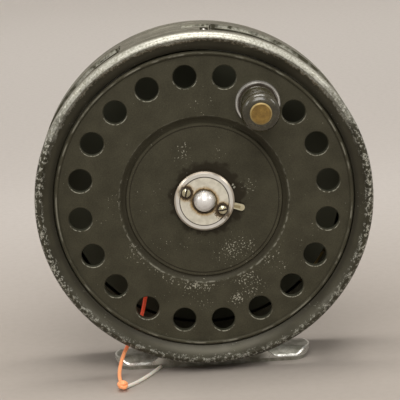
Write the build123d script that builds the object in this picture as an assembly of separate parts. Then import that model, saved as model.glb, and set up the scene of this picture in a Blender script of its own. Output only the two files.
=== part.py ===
from build123d import *
import math
import os

# A centre-pin fly reel standing on its foot: X to the right, Y to the back, Z up, millimetres.
# The spindle runs along Y at axis_height, and the origin is the middle of the foot's seat.
# Places along the spindle are depths behind the inner edge of the frame's mouth, so a negative
# depth is in front of it. Angles are anticlockwise from +X, as seen from the front.

# ---- Clearances that many pieces share ----
running_gap = 0.45
running_clearance = 0.04
fit_clearance = 0.02
seat_clearance = 0.05
end_play = 0.1
end_float = 0.5
overrun = 1.0

# ---- Frame: one casting ----
frame_radius = 49.2
wall_thickness = 2.3
lip_breadth = 5.25
lip_stand = 2.6
lip_round = 1.6
bevel_sagitta = 0.35
mouth_depth = 2.6
land_back = 3.0
rear_band_width = 10.1
ledge_width = 2.0
ledge_step = 1.1
rear_round = 1.2
rear_taper = 0.3
rear_rim_width = 3.0
rear_rim_stand = 1.1
plate_thickness = 1.7
boss_radius = 19.4
boss_stand = 1.1
corner_round = 1.2
window_corner = 2.0

# Pillars as (middle angle, angle covered); the windows are what lies between them.
pillars = ((31.5, 13.0), (100.55, 31.7), (164.5, 15.0), (270.0, 40.0), (316.5, 13.0))
step_sweep = 9.7
step_drop = 0.9
slot_angle = 86.6
slot_width = 2.4
slot_length = 8.0
slot_setback = 3.5
slot_floor = 0.6
slot_rivet_radius = 0.75
slot_rivet_setback = 1.6

# ---- Foot ----
foot_lift = 2.8
foot_setback = 0.7
foot_length = 58.6
foot_width = 14.0
foot_end_rise = 4.3
foot_crown = 4.1
foot_edge = 1.3
foot_tip = 3.2
foot_land = 1.2
foot_hollow = 2.2
saddle_length = 30.0
saddle_flank = 5.0
saddle_flank_hollow = 0.7
saddle_shoulder_drop = 0.25
saddle_bite = 1.0
foot_rivet_radius = 1.1
foot_rivet_end_inset = 6.0
foot_rivet_side_inset = 3.4

# ---- Drum ----
face_stand = 0.45
flange_thickness = 2.2
line_space = 16.45
bead_width = 1.15
bead_height = 0.75
bead_edge_drop = 0.1
skirt_depth = 2.6
skirt_step = 0.4
rear_flange_inset = 2.3
rear_flange_thickness = 1.4
guard_gap = 1.0
guard_setback = 0.3
arbor_radius = 11.5
arbor_wall = 1.6
arbor_fillet = 1.5
hub_wall = 2.6
hub_stand = 1.2
hollow_front = 3.4
rib_count = 4
rib_thickness = 1.6
rib_bite = 0.5
disc_radius = 21.8
disc_line_width = 0.14
disc_line_depth = 0.12
disc_border = 0.75
channel_width = 2.15
channel_wall = 0.4
channel_depth = 0.9
channel_sag = 0.22
hole_count = 20
hole_inset = 7.1
hole_radius = 3.4
hole_chamfer = 0.25
first_hole_angle = 95.75
handle_place = 2

# ---- Spindle and bush ----
spindle_radius = 3.05
spindle_setback = 0.05
spindle_dome = 0.7
groove_depth = 0.6
groove_play = 0.15
bush_wall = 1.15
bush_stand = 0.3
spindle_flange_thickness = 1.2
spindle_flange_margin = 2.0
spindle_tail_radius = 2.2
tail_stand = 0.3
tail_dome = 0.4
spindle_screw_circle = 5.0
spindle_screw_radius = 0.8
spindle_screw_count = 3

# ---- Latch ----
cap_radius = 8.75
cap_stand = 2.4
cap_bevel = 0.55
cap_line_inset = 1.62
cap_line_step = 0.12
cap_wall = 1.0
cap_plate = 0.7
cap_bore_clearance = 0.3
pocket_floor = 0.6
latch_screw_circle = 5.85
latch_screw_angle = 151.5
latch_screw_radius = 0.8
latch_screw_grip = 3.0
screw_head_radius = 1.5
screw_head_stand = 0.6
screw_head_edge = 0.2
screw_seat_radius = 1.7
screw_seat_depth = 0.25
slot_tool_width = 0.5
slot_tool_depth = 0.5
head_slot_lift = 0.15
latch_slot_turns = (75, 8)
latch_post_radius = 1.5
lever_play = 0.08
lever_thickness = 0.6
lever_hub_wall = 1.85
lever_eye_radius = 1.6
lever_arm_width = 1.6
lever_tab_width = 1.9
lever_root_wall = 0.2
lever_root_angle = -9.75
lever_elbow_inset = 1.4
lever_elbow_angle = -11.8
lever_tip_reach = 2.2
lever_tip_angle = -13.8
lever_travel = 7.0
lever_hole_clearance = 0.1
lever_notch_clearance = 0.15
lever_peg_radius = 0.4
lever_peg_angle = -10.0
spring_wire_radius = 0.35
latch_spring_inset = 1.15
latch_spring_start = 10.5
latch_spring_sweep = 118.0

# ---- Handle ----
handle_inset = 11.15
handle_angle = 58.5
handle_plate_radius = 6.5
handle_plate_thickness = 1.3
handle_rim_width = 0.6
handle_rim_height = 0.35
handle_rim_slope = 0.2
handle_length = 19.2
grip_foot_round = 0.3
grip_skirt_height = 1.2
grip_shoulder_height = 2.4
grip_shoulder_round = 1.2
grip_crown = 0.35
grip_waist_forward = 1.5
grip_skirt_radius = 5.15
grip_waist_radius = 3.9
grip_shoulder_radius = 5.6
handle_pin_radius = 1.6
handle_cap_radius = 3.1
handle_cap_thickness = 0.8
handle_cap_edge = 0.35
handle_play = 0.08
pin_tail_radius = 2.6
pin_tail_thickness = 0.7
pin_tail_edge = 0.4

# ---- Ratchet check ----
regulator_angle = 322.0
ratchet_teeth = 24
ratchet_radius = 9.0
ratchet_tooth_height = 1.5
ratchet_thickness = 2.0
ratchet_rivet_inset = 1.3
ratchet_rivet_radius = 0.7
ratchet_rivet_depth = 2.4
ratchet_rivet_head_radius = 0.95
ratchet_rivet_head_height = 0.3
ratchet_rivet_count = 3
pawl_teeth_apart = 15
pawl_tip_clearance = 0.6
pawl_length = 7.3
pawl_pin_setback = 2.2
pawl_back_width = 6.0
pawl_shoulder = 0.8
pawl_corner = 0.4
pawl_thickness = 1.8
pawl_pin_radius = 1.2
pawl_collar_radius = 2.3
pawl_screw_radius = 0.6
pawl_screw_head_radius = 1.95
pawl_screw_head_height = 0.45
pawl_screw_slot_turn = 30.0
rivet_head_extra = 0.5
rivet_head_thickness = 0.35

calliper_strip = 0.8
calliper_width = 1.6
calliper_gap = 0.3
calliper_half_width = 5.0
calliper_waist = 15.5
calliper_leg_end = 3.0
calliper_elbow_reach = 10.2
calliper_elbow_round = 6.0
calliper_waist_round = 5.0
crown_share = 0.98
anchor_radius = 5.7
anchor_tail_radius = 1.8
anchor_neck_clearance = 0.2
anchor_face_clearance = 0.12

regulator_thread_radius = 1.22
regulator_thread_tail = 1.0
regulator_head_radius = 2.4
regulator_head_clearance = 0.2
regulator_head_drop = 0.8
regulator_flutes = 12
regulator_flute_radius = 0.35
regulator_slot_width = 0.6
regulator_slot_depth = 0.6
regulator_notch_clearance = 0.4
regulator_collar_radius = 2.0
regulator_collar_thickness = 0.5
regulator_journal_radius = 1.3
slide_room = 2.2
slide_height = 3.6
slide_arm_width = 1.5
slide_arm_reach = 5.5
bracket_wall_gap = 2.5
bracket_height = 3.4
bracket_half_width = 3.6
bracket_ear = 4.6
bracket_ear_thickness = 1.4
bracket_screw_radius = 0.8
bracket_screw_head_radius = 1.5
bracket_screw_head_height = 0.7
bracket_screw_slot_turn = 40.0
bracket_screw_skin = 0.4
bracket_wall_clearance = 0.2
flange_clearance = 0.6
pawl_screw_clearance = 0.35

# ---- Line ----
line_diameter = 1.1
leader_diameter = 1.1
knot_radius = 1.75
knot_centre = (-26.7, -27.6, 1.75)
line_points = (
    (-9.3, -3.4, 60.6),
    (-13.0, -3.6, 52.5),
    (-14.4, -3.9, 40.0),
    (-18.0, -4.2, 25.5),
    (-20.9, -4.6, 13.6),
    (-24.7, -6.6, 8.2),
    (-26.4, -12.2, 6.5),
    (-27.4, -17.2, 4.6),
    (-27.8, -20.9, 3.0),
    (-27.5, -24.2, 2.1),
    (-27.1, -26.3, 1.9),
)
leader_points = (
    (-26.0, -26.4, 0.75),
    (-24.3, -23.9, 0.56),
    (-21.9, -20.6, 0.56),
    (-19.1, -15.3, 0.57),
    (-17.3, -11.3, 0.56),
    (-15.7, -7.7, 0.56),
)

# ---- Radii and heights that follow from the sizes above ----
axis_height = frame_radius + foot_lift
mouth_radius = frame_radius - lip_breadth
wall_inner = frame_radius - wall_thickness
seat_radius = frame_radius - saddle_bite
drum_radius = mouth_radius - running_gap
rear_flange_radius = drum_radius - rear_flange_inset
guard_inner = rear_flange_radius + guard_gap
hole_circle = drum_radius - hole_inset
handle_circle = drum_radius - handle_inset
foot_rivet_x = saddle_length / 2 - foot_rivet_end_inset
foot_rivet_y = foot_width / 2 - foot_rivet_side_inset
groove_radius = spindle_radius - groove_depth
bush_bore = spindle_radius + running_clearance
bush_radius = spindle_radius + bush_wall
hub_radius = bush_radius + hub_wall
spindle_flange_radius = spindle_screw_circle + spindle_flange_margin
cap_line_radius = cap_radius - cap_line_inset
latch_spring_circle = cap_radius - cap_wall - latch_spring_inset
lever_hub_radius = spindle_radius + lever_hub_wall
ratchet_root_radius = ratchet_radius - ratchet_tooth_height
ratchet_rivet_circle = hub_radius - ratchet_rivet_inset
pawl_tip_radius = ratchet_root_radius + pawl_tip_clearance
pawl_back_radius = pawl_tip_radius + pawl_length
pawl_circle = pawl_back_radius - pawl_pin_setback
pawl_place = pawl_teeth_apart * 180 / ratchet_teeth
calliper_inner = pawl_back_radius + calliper_gap

# ---- Depths that follow from the sizes above, front to back ----
face_front = -face_stand
flange_back = face_front + flange_thickness
cap_front = face_front - cap_stand
spindle_front = cap_front + spindle_setback
cap_underside = cap_front + cap_plate
lever_front = cap_underside + lever_play
lever_back = lever_front + lever_thickness
groove_front = lever_front - groove_play
groove_back = lever_back + groove_play
latch_spring_depth = pocket_floor - spring_wire_radius - fit_clearance
bush_front = pocket_floor + end_play
latch_screw_back = pocket_floor + latch_screw_grip
rear_flange_front = flange_back + line_space
rear_flange_back = rear_flange_front + rear_flange_thickness
guard_front = rear_flange_front + guard_setback
hub_back = rear_flange_back + hub_stand
ratchet_back = hub_back + ratchet_thickness
bush_back = ratchet_back + bush_stand
spindle_flange_front = bush_back + end_float
plate_inner = spindle_flange_front + spindle_flange_thickness
plate_outer = plate_inner + plate_thickness
boss_back = plate_outer + boss_stand
frame_back = plate_outer + rear_rim_stand
band_front = frame_back - rear_band_width
ledge_front = band_front - ledge_width
slot_front = land_back + slot_setback
pawl_screw_front = rear_flange_back + pawl_screw_clearance
pawl_pin_front = pawl_screw_front + pawl_screw_head_height
pawl_front = hub_back + end_play
calliper_front = pawl_front + end_play
calliper_back = calliper_front + calliper_width
anchor_head_front = rear_flange_back + flange_clearance
bracket_front = rear_flange_back + flange_clearance
bracket_ear_front = plate_inner - bracket_ear_thickness
bracket_screw_end = plate_outer - bracket_screw_skin
regulator_depth = plate_inner - regulator_head_radius - regulator_head_clearance
drum_face_y = (lip_stand - frame_back) / 2 - foot_setback

# ---- Places along the regulator, from the rim inwards ----
regulator_head_top = frame_radius - regulator_head_drop
bracket_top = wall_inner - bracket_wall_gap
bracket_bottom = bracket_top - bracket_height
regulator_head_inner = bracket_top + end_play
slide_top = bracket_bottom - end_play - regulator_collar_thickness - slide_room
slide_bottom = slide_top - slide_height
regulator_thread_end = slide_bottom - regulator_thread_tail
calliper_top = slide_bottom - slide_room - calliper_strip / 2 - calliper_half_width
slide_arm_end = calliper_top - slide_arm_reach

from_inner_face = (Align.MIN, Align.CENTER, Align.CENTER)
standing = (Align.CENTER, Align.CENTER, Align.MIN)
spin_axis = Axis((0, 0, axis_height), (0, -1, 0))
section_plane = Plane(origin=(0, 0, axis_height), x_dir=(1, 0, 0), z_dir=(0, 0, 1))


def along(depth):
    """Y of a depth behind the drum's front face."""
    return drum_face_y + depth


def depth_of(y):
    """Depth behind the drum's front face of a place given along Y."""
    return y - drum_face_y


def polar(radius, angle):
    """Place in the plane of the drum, across and up from the spindle."""
    return (radius * math.cos(math.radians(angle)), radius * math.sin(math.radians(angle)))


def section(*points):
    """Closed outline of (radius, depth) corners, ready to be turned about the spindle."""
    return make_face(Polyline(*[(radius, along(depth)) for radius, depth in points], close=True))


def turned(outline, sweep=360.0, start=0.0):
    """Solid of an outline turned about the spindle, from one angle through a sweep."""
    solid = revolve(section_plane * outline, axis=spin_axis, revolution_arc=sweep)
    return solid.rotate(spin_axis, start)


def ring(inner, outer, front, back, sweep=360.0, start=0.0):
    """Plain ring, or a sector of one, about the spindle."""
    return turned(section((inner, front), (outer, front), (outer, back), (inner, back)), sweep, start)


def arc_radius(half_chord, rise):
    """Radius of the arc that rises by a given amount over half its chord."""
    return (half_chord ** 2 + rise ** 2) / (2 * rise)


def dome(radius, depth, rise):
    """Arc of a domed end, from its rim at a depth to the axis; a negative rise points forward."""
    ball = arc_radius(radius, abs(rise))
    sink = (ball - math.sqrt(ball ** 2 - (radius / 2) ** 2)) * math.copysign(1, rise)
    return ThreePointArc(
        (radius, along(depth)), (radius / 2, along(depth + rise - sink)), (0, along(depth + rise))
    ).edge()


def plate(outline, front, back):
    """Flat plate, parallel to the drum's face, between two depths."""
    face_plane = Plane(origin=(0, along(back), axis_height), x_dir=(1, 0, 0), z_dir=(0, -1, 0))
    return extrude(face_plane * outline, amount=back - front)


def rod(place, radius, front, back):
    """Round bar parallel to the spindle."""
    return plate(Pos(*place) * Circle(radius), front, back)


def to_regulator(solid):
    """Turns a piece that was drawn with the regulator straight up to the regulator's angle."""
    return solid.rotate(spin_axis, regulator_angle - 90)


def pawl_angles():
    """Angles of the two pawls, on each side of the calliper spring."""
    return (90 + pawl_place, 90 - pawl_place)


# ---------------------------------------------------------------- frame

def frame_outline():
    """Half section of the casting: bevelled mouth, wall, rounded rear rim, plate and boss."""
    mouth = (mouth_radius, along(0))
    crest = (frame_radius - lip_round, along(-lip_stand))
    lip_centre = (frame_radius - lip_round, along(-lip_stand) + lip_round)
    rear_radius = frame_radius - rear_taper
    rear_centre = (rear_radius - rear_round, along(frame_back) - rear_round)
    rear_inner = rear_radius - rear_rim_width
    step = frame_back - plate_outer
    rest = (
        (rear_inner, frame_back),
        (rear_inner - step, plate_outer),
        (boss_radius + boss_back - plate_outer, plate_outer),
        (boss_radius, boss_back),
        (0, boss_back),
        (0, plate_inner),
        (wall_inner - corner_round, plate_inner),
        (wall_inner, plate_inner - corner_round),
        (wall_inner, mouth_depth),
        (mouth_radius, mouth_depth),
    )
    corners = [(radius, along(depth)) for radius, depth in rest]
    return make_face([
        SagittaArc(mouth, crest, bevel_sagitta).edge(),
        CenterArc(lip_centre, lip_round, -90, 90).edge(),
        Line((frame_radius, lip_centre[1]), (rear_radius, rear_centre[1])).edge(),
        CenterArc(rear_centre, rear_round, 0, 90).edge(),
        *Polyline((rear_centre[0], along(frame_back)), *corners, mouth).edges(),
    ])


def window(start, sweep):
    """Cutter for one window, with rounded corners and the stepped ledge behind it."""
    reach = frame_radius + overrun
    floor = mouth_radius
    opening = ring(floor, reach, land_back, ledge_front, sweep, start)
    across = [edge for edge in opening.edges() if abs(edge.length - (reach - floor)) < 0.01]
    ledge = ring(frame_radius - ledge_step, reach, ledge_front - fit_clearance, band_front, sweep, start)
    return [fillet(across, window_corner), ledge]


def windows():
    """Cutters for every window, one between each pair of neighbouring pillars."""
    cutters = []
    for place, (middle, cover) in enumerate(pillars):
        following, following_cover = pillars[(place + 1) % len(pillars)]
        start = middle + cover / 2
        end = following - following_cover / 2
        cutters += window(start, (end - start) % 360)
    return cutters


def foot_seat_cutter():
    """Pocket under the frame that the foot's saddle fills."""
    bar = Box(saddle_length + 2 * fit_clearance, foot_width + 2 * fit_clearance, axis_height)
    barrel = ring(0, seat_radius, depth_of(-foot_width), depth_of(foot_width))
    return bar - barrel


def frame():
    """The casting, with its windows, stepped pillar, rivet slot, foot seat and fixing holes."""
    body = turned(frame_outline())
    top_middle, top_cover = pillars[1]
    step = ring(
        frame_radius - step_drop, frame_radius + overrun, land_back, band_front,
        step_sweep, top_middle - top_cover / 2,
    )
    slot_place = Pos(wall_inner + slot_floor, along(slot_front + slot_length / 2), axis_height)
    slot = slot_place * Box(2 * wall_thickness, slot_length, slot_width, align=from_inner_face)
    notch = Pos(wall_inner, along(regulator_depth), axis_height) * Box(
        2 * (wall_thickness + overrun),
        2 * (plate_inner - regulator_depth),
        2 * (regulator_head_radius + regulator_notch_clearance),
    )
    body -= windows() + [
        step,
        slot.rotate(spin_axis, slot_angle),
        notch.rotate(spin_axis, regulator_angle),
        foot_seat_cutter(),
        rod((0, 0), spindle_tail_radius + fit_clearance, plate_inner - overrun, boss_back + overrun),
    ]
    return body - frame_fixing_holes()


def frame_fixing_holes():
    """Holes in the plate for the check's posts and screws, and in the wall for the foot's rivets."""
    front = plate_inner - overrun
    back = boss_back + overrun
    holes = [
        rod(place, spindle_screw_radius + fit_clearance, front, plate_outer)
        for place in spindle_screw_places()
    ]
    for angle in pawl_angles():
        post = rod(polar(pawl_circle, angle), pawl_pin_radius + fit_clearance, front, back)
        holes.append(to_regulator(post))
    holes.append(to_regulator(rod((0, calliper_top), anchor_tail_radius + fit_clearance, front, back)))
    for side in (-1, 1):
        hole = rod(bracket_screw_place(side), bracket_screw_radius + fit_clearance, front, bracket_screw_end)
        holes.append(to_regulator(hole))
    for x, y in foot_rivet_places():
        holes.append(Pos(x, y, 0) * Cylinder(foot_rivet_radius + fit_clearance, saddle_length))
    return holes


def slot_rivet():
    """Small round-headed rivet at the end of the slot in the top pillar."""
    size = 2 * slot_rivet_radius
    head = Sphere(slot_rivet_radius) & Box(size, size, size, align=from_inner_face)
    back = slot_front + slot_length - slot_rivet_setback
    place = Pos(wall_inner + slot_floor + fit_clearance, along(back), axis_height)
    return (place * head).rotate(spin_axis, slot_angle)


def guard_ring():
    """Turned ring let into the wall, closing the gap round the drum's rear flange."""
    return ring(guard_inner, wall_inner - fit_clearance, guard_front, rear_flange_back)


# ---------------------------------------------------------------- foot

def foot_rivet_places():
    """Places of the four rivets, in X and Y."""
    return [
        (x, y)
        for x in (-foot_rivet_x, foot_rivet_x)
        for y in (-foot_rivet_y, foot_rivet_y)
    ]


def lying_cylinder(radius, top):
    """Long round bar along X whose highest line is at a given height."""
    return Pos(0, 0, top - radius) * Rot(0, 90, 0) * Cylinder(radius, foot_length + 2 * overrun)


def reel_foot():
    """Arched alloy foot with thinned, rounded ends and a saddle cut to the frame's curve."""
    half = foot_length / 2
    half_width = foot_width / 2
    corner = half - foot_end_rise
    plan = make_face([
        Line((-corner, half_width), (corner, half_width)).edge(),
        ThreePointArc((corner, half_width), (half, 0), (corner, -half_width)).edge(),
        Line((corner, -half_width), (-corner, -half_width)).edge(),
        ThreePointArc((-corner, -half_width), (-half, 0), (-corner, half_width)).edge(),
    ])
    outline = extrude(plan, amount=foot_crown)
    crown = lying_cylinder(arc_radius(half_width, foot_crown - foot_edge), foot_crown)
    side = make_face(Polyline(
        (-half, 0), (-half, foot_tip), (-saddle_length / 2, foot_crown), (saddle_length / 2, foot_crown),
        (half, foot_tip), (half, 0), close=True,
    ))
    taper = extrude(Plane.XZ * side, amount=half_width, both=True)
    wings = outline & crown & taper
    saddle = foot_saddle()
    hollow = lying_cylinder(arc_radius(half_width - foot_land, foot_hollow), foot_hollow)
    frame_room = ring(0, seat_radius + seat_clearance, depth_of(-foot_width), depth_of(foot_width))
    holes = [
        Pos(x, y, 0) * Cylinder(foot_rivet_radius + fit_clearance, saddle_length)
        for x, y in foot_rivet_places()
    ]
    return wings + saddle - hollow - frame_room - holes


def foot_saddle():
    """Block under the frame, with flanks that sweep down onto the wings."""
    half = saddle_length / 2
    shoulder = axis_height - math.sqrt(frame_radius ** 2 - half ** 2) - saddle_shoulder_drop
    top = axis_height - math.sqrt(wall_inner ** 2 - half ** 2)
    low = foot_edge
    flank = half + saddle_flank
    side = make_face([
        *Polyline((flank, low), (-flank, low)).edges(),
        SagittaArc((-flank, low), (-half, shoulder), -saddle_flank_hollow).edge(),
        *Polyline((-half, shoulder), (-half, top), (half, top), (half, shoulder)).edges(),
        SagittaArc((half, shoulder), (flank, low), -saddle_flank_hollow).edge(),
    ])
    return extrude(Plane.XZ * side, amount=foot_width / 2, both=True)


def foot_rivets():
    """Four rivets through the saddle and the frame's wall, flush inside the frame."""
    inner = ring(0, wall_inner, depth_of(-foot_width), depth_of(foot_width))
    hollow = lying_cylinder(arc_radius(foot_width / 2 - foot_land, foot_hollow), foot_hollow)
    pins = [
        Pos(x, y, 0) * Cylinder(foot_rivet_radius, saddle_length, align=standing)
        for x, y in foot_rivet_places()
    ]
    return Part() + [pin - hollow - inner for pin in pins]


# ---------------------------------------------------------------- drum

def drum_outline():
    """Half section of the drum: beaded front flange, channel, arbor, rear flange and hub."""
    bead_inner = drum_radius - bead_width
    line_half = disc_line_width / 2
    channel_inner = disc_radius + disc_border
    channel_floor = channel_inner + channel_wall
    channel_outer = channel_inner + channel_width
    arbor_inner = arbor_radius - arbor_wall
    first = (
        (bush_radius, pocket_floor),
        (cap_radius - cap_wall, pocket_floor),
        (cap_radius - cap_wall, face_front),
        (disc_radius - line_half, face_front),
        (disc_radius - line_half, face_front + disc_line_depth),
        (disc_radius + line_half, face_front + disc_line_depth),
        (disc_radius + line_half, face_front),
        (channel_inner, face_front),
        (channel_floor, face_front + channel_depth),
    )
    rest = (
        (drum_radius, skirt_depth),
        (bead_inner, skirt_depth),
        (bead_inner - skirt_step, flange_back),
        (arbor_radius, flange_back),
        (arbor_radius, rear_flange_front),
        (rear_flange_radius, rear_flange_front),
        (rear_flange_radius, rear_flange_back),
        (arbor_inner, rear_flange_back),
        (arbor_inner, hollow_front),
        (hub_radius, hollow_front),
        (hub_radius, hub_back),
        (bush_radius, hub_back),
        (bush_radius, pocket_floor),
    )
    first = [(radius, along(depth)) for radius, depth in first]
    rest = [(radius, along(depth)) for radius, depth in rest]
    channel_rim = (channel_outer, along(face_front))
    bead_start = (bead_inner, along(face_front))
    bead_top = (drum_radius - bead_width / 2, along(face_front - bead_height))
    bead_foot = (drum_radius, along(face_front + bead_edge_drop))
    return make_face([
        *Polyline(*first).edges(),
        SagittaArc(first[-1], channel_rim, channel_sag).edge(),
        Line(channel_rim, bead_start).edge(),
        ThreePointArc(bead_start, bead_top, bead_foot).edge(),
        *Polyline(bead_foot, *rest).edges(),
    ])


def hole_angles():
    """Angles of the ring of round places, one of which carries the handle."""
    return [first_hole_angle - place * 360 / hole_count for place in range(hole_count)]


def drum():
    """The drum casting, with its ventilation holes, hub ribs, latch posts and screw holes."""
    body = turned(drum_outline())
    corners = [
        edge for edge in body.edges().filter_by(GeomType.CIRCLE) if abs(edge.radius - arbor_radius) < 0.01
    ]
    body = fillet(corners, arbor_fillet)
    for place in range(rib_count):
        length = arbor_radius - arbor_wall - hub_radius + 2 * rib_bite
        rib = Box(length, rear_flange_front - hollow_front, rib_thickness)
        middle = (hub_radius + arbor_radius - arbor_wall) / 2
        rib = Pos(middle, along((rear_flange_front + hollow_front) / 2), axis_height) * rib
        body += rib.rotate(spin_axis, 45 + place * 360 / rib_count)
    for angle in latch_screw_angles():
        place = polar(latch_screw_circle, angle)
        body += rod(place, latch_post_radius, lever_back + fit_clearance, hollow_front)
    return body - ventilation_holes() - drum_fixing_holes()


def ventilation_holes():
    """Cutters for the ring of holes in the front flange; the handle takes the place of one."""
    cuts = []
    for place, angle in enumerate(hole_angles()):
        middle = polar(hole_circle, angle)
        if place != handle_place:
            cuts.append(rod(middle, hole_radius, face_front - overrun, flange_back + overrun))
            cuts.append(hole_countersink(middle))
    return cuts


def drum_fixing_holes():
    """Cutters for the handle's pin, the latch screws and the ratchet's rivets."""
    pin_radius = handle_pin_radius + fit_clearance
    front = face_front - overrun
    cuts = [rod(polar(handle_circle, handle_angle), pin_radius, front, flange_back + overrun)]
    for angle in latch_screw_angles():
        place = polar(latch_screw_circle, angle)
        cuts.append(rod(place, latch_screw_radius + fit_clearance, cap_front, latch_screw_back))
    for place in ratchet_rivet_places():
        deep = hub_back - ratchet_rivet_depth - fit_clearance
        cuts.append(rod(place, ratchet_rivet_radius + fit_clearance, deep, hub_back + overrun))
    return cuts


def hole_countersink(place):
    """Light chamfer round the front edge of a ventilation hole."""
    cone = Cone(hole_radius + hole_chamfer, hole_radius, hole_chamfer, align=standing)
    return Pos(place[0], along(face_front), axis_height + place[1]) * Rot(-90, 0, 0) * cone


def spindle_bush():
    """Bronze tube pressed into the hub; the ratchet wheel sits on its tail."""
    return ring(bush_bore, bush_radius - fit_clearance, bush_front, bush_back)


# ---------------------------------------------------------------- spindle

def spindle():
    """Steel spindle: domed grooved end, shank, flange on the back plate and riveted tail."""
    tip = spindle_front - spindle_dome
    back = boss_back + tail_stand
    points = (
        (spindle_radius, spindle_front),
        (spindle_radius, groove_front),
        (groove_radius, groove_front),
        (groove_radius, groove_back),
        (spindle_radius, groove_back),
        (spindle_radius, spindle_flange_front),
        (spindle_flange_radius, spindle_flange_front),
        (spindle_flange_radius, plate_inner),
        (spindle_tail_radius, plate_inner),
        (spindle_tail_radius, back),
    )
    line = [(radius, along(depth)) for radius, depth in points]
    outline = make_face([
        *Polyline(*line).edges(),
        dome(spindle_tail_radius, back, tail_dome),
        Line((0, along(back + tail_dome)), (0, along(tip))).edge(),
        dome(spindle_radius, spindle_front, -spindle_dome),
    ])
    front = spindle_flange_front - overrun
    holes = [
        rod(place, spindle_screw_radius + fit_clearance, front, plate_inner + overrun)
        for place in spindle_screw_places()
    ]
    return turned(outline) - holes


def spindle_screw_places():
    """Places of the screws in the spindle's flange."""
    return [
        polar(spindle_screw_circle, 90 + place * 360 / spindle_screw_count)
        for place in range(spindle_screw_count)
    ]


def spindle_screws():
    """Flush screws that hold the spindle's flange on the back plate."""
    back = plate_outer - end_play
    return Part() + [
        rod(place, spindle_screw_radius, spindle_flange_front, back) for place in spindle_screw_places()
    ]


# ---------------------------------------------------------------- latch

def latch_screw_angles():
    """Angles of the two latch screws; the lever turns about the first."""
    return (latch_screw_angle, latch_screw_angle + 180)


def latch_cover():
    """Turned cap over the latch, with a bevelled edge, screw seats and a notch for the lever."""
    top = cap_front + cap_line_step
    bore = spindle_radius + cap_bore_clearance
    points = (
        (bore, cap_front),
        (cap_line_radius, cap_front),
        (cap_line_radius, top),
        (cap_radius - cap_bevel, top),
        (cap_radius, top + cap_bevel),
        (cap_radius, face_front),
        (cap_radius - cap_wall, face_front),
        (cap_radius - cap_wall, cap_underside),
        (bore, cap_underside),
    )
    cuts = lever_notch()
    front = cap_front - overrun
    for angle in latch_screw_angles():
        place = polar(latch_screw_circle, angle)
        cuts.append(rod(place, latch_screw_radius + fit_clearance, front, cap_underside + overrun))
        cuts.append(rod(place, screw_seat_radius, front, cap_front + screw_seat_depth))
    return turned(section(*points)) - cuts


def lever_stations():
    """Places of the lever's root, elbow and thumb tab."""
    root = polar(spindle_radius + lever_root_wall, lever_root_angle)
    elbow = polar(cap_radius - lever_elbow_inset, lever_elbow_angle)
    tip = polar(cap_radius + lever_tip_reach, lever_tip_angle)
    return root, elbow, tip


def lever_notch():
    """Gap in the cap's wall that the lever's arm swings in."""
    root, elbow, tip = lever_stations()
    arm = make_hull(
        (Pos(*elbow) * Circle(lever_arm_width / 2 + lever_notch_clearance)).edges()
        + (Pos(*tip) * Circle(lever_tab_width / 2 + lever_notch_clearance)).edges()
    )
    pivot = Axis(Vector(*polar(latch_screw_circle, latch_screw_angle)), (0, 0, 1))
    swings = [arm.rotate(pivot, turn) for turn in (0, lever_travel / 2, lever_travel)]
    return [plate(swing, cap_underside, face_front + overrun) for swing in swings]


def lever_outline():
    """Plan of the lever: eye, hub with its offset hole, arm and thumb tab."""
    pivot = polar(latch_screw_circle, latch_screw_angle)
    eye = Pos(*pivot) * Circle(lever_eye_radius)
    outline = make_hull(Circle(lever_hub_radius).edges() + eye.edges())
    stations = tuple(zip(lever_stations(), (lever_arm_width, lever_arm_width, lever_tab_width)))
    for (start, start_width), (end, end_width) in zip(stations, stations[1:]):
        outline += make_hull(
            (Pos(*start) * Circle(start_width / 2)).edges() + (Pos(*end) * Circle(end_width / 2)).edges()
        )
    opening_radius = spindle_radius + lever_hole_clearance
    offset = opening_radius - groove_radius - running_clearance
    outline -= Pos(*polar(offset, latch_screw_angle + 90)) * Circle(opening_radius)
    return outline - Pos(*pivot) * Circle(latch_screw_radius + running_clearance)


def latch_lever():
    """Flat lever that drops into the spindle's groove and holds the drum on."""
    lever = plate(lever_outline(), lever_front, lever_back)
    place = polar(latch_spring_circle, lever_peg_angle)
    return lever + rod(place, lever_peg_radius, lever_back, latch_spring_depth)


def latch_spring():
    """Curved wire spring in the pocket under the lever."""
    start = polar(latch_spring_circle, latch_spring_start)
    face_plane = Plane(origin=(0, along(latch_spring_depth), axis_height), x_dir=(1, 0, 0), z_dir=(0, -1, 0))
    path = face_plane * CenterArc((0, 0), latch_spring_circle, latch_spring_start, latch_spring_sweep)
    return sweep(Plane(origin=path @ 0, z_dir=path % 0) * Circle(spring_wire_radius), path=path)


def screw_slot(place, turn, front):
    """Cutter for the slot across a screw's head."""
    bar = Rot(0, 0, turn) * Rectangle(3 * screw_head_radius, slot_tool_width)
    return plate(Pos(*place) * bar, front - overrun, front + slot_tool_depth)


def latch_screws():
    """Two round-headed slotted screws that hold the cap on the drum."""
    screws = Part()
    seat = cap_front + screw_seat_depth
    front = cap_front - screw_head_stand
    ball = arc_radius(screw_head_radius, seat - front - screw_head_edge)
    for angle, turn in zip(latch_screw_angles(), latch_slot_turns):
        place = polar(latch_screw_circle, angle)
        crown = Pos(place[0], along(front) + ball, axis_height + place[1]) * Sphere(ball)
        head = rod(place, screw_head_radius, front, seat) & crown
        shank = rod(place, latch_screw_radius, seat, latch_screw_back - end_play)
        screws += head - screw_slot(place, turn, front) + shank
    return screws


# ---------------------------------------------------------------- handle

def handle_turned(outline):
    """Solid of a (radius, depth) outline turned about the handle's own pin."""
    place = polar(handle_circle, handle_angle)
    origin = (place[0], 0, axis_height + place[1])
    plane = Plane(origin=origin, x_dir=(1, 0, 0), z_dir=(0, 0, 1))
    return revolve(plane * outline, axis=Axis(origin, (0, -1, 0)))


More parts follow.
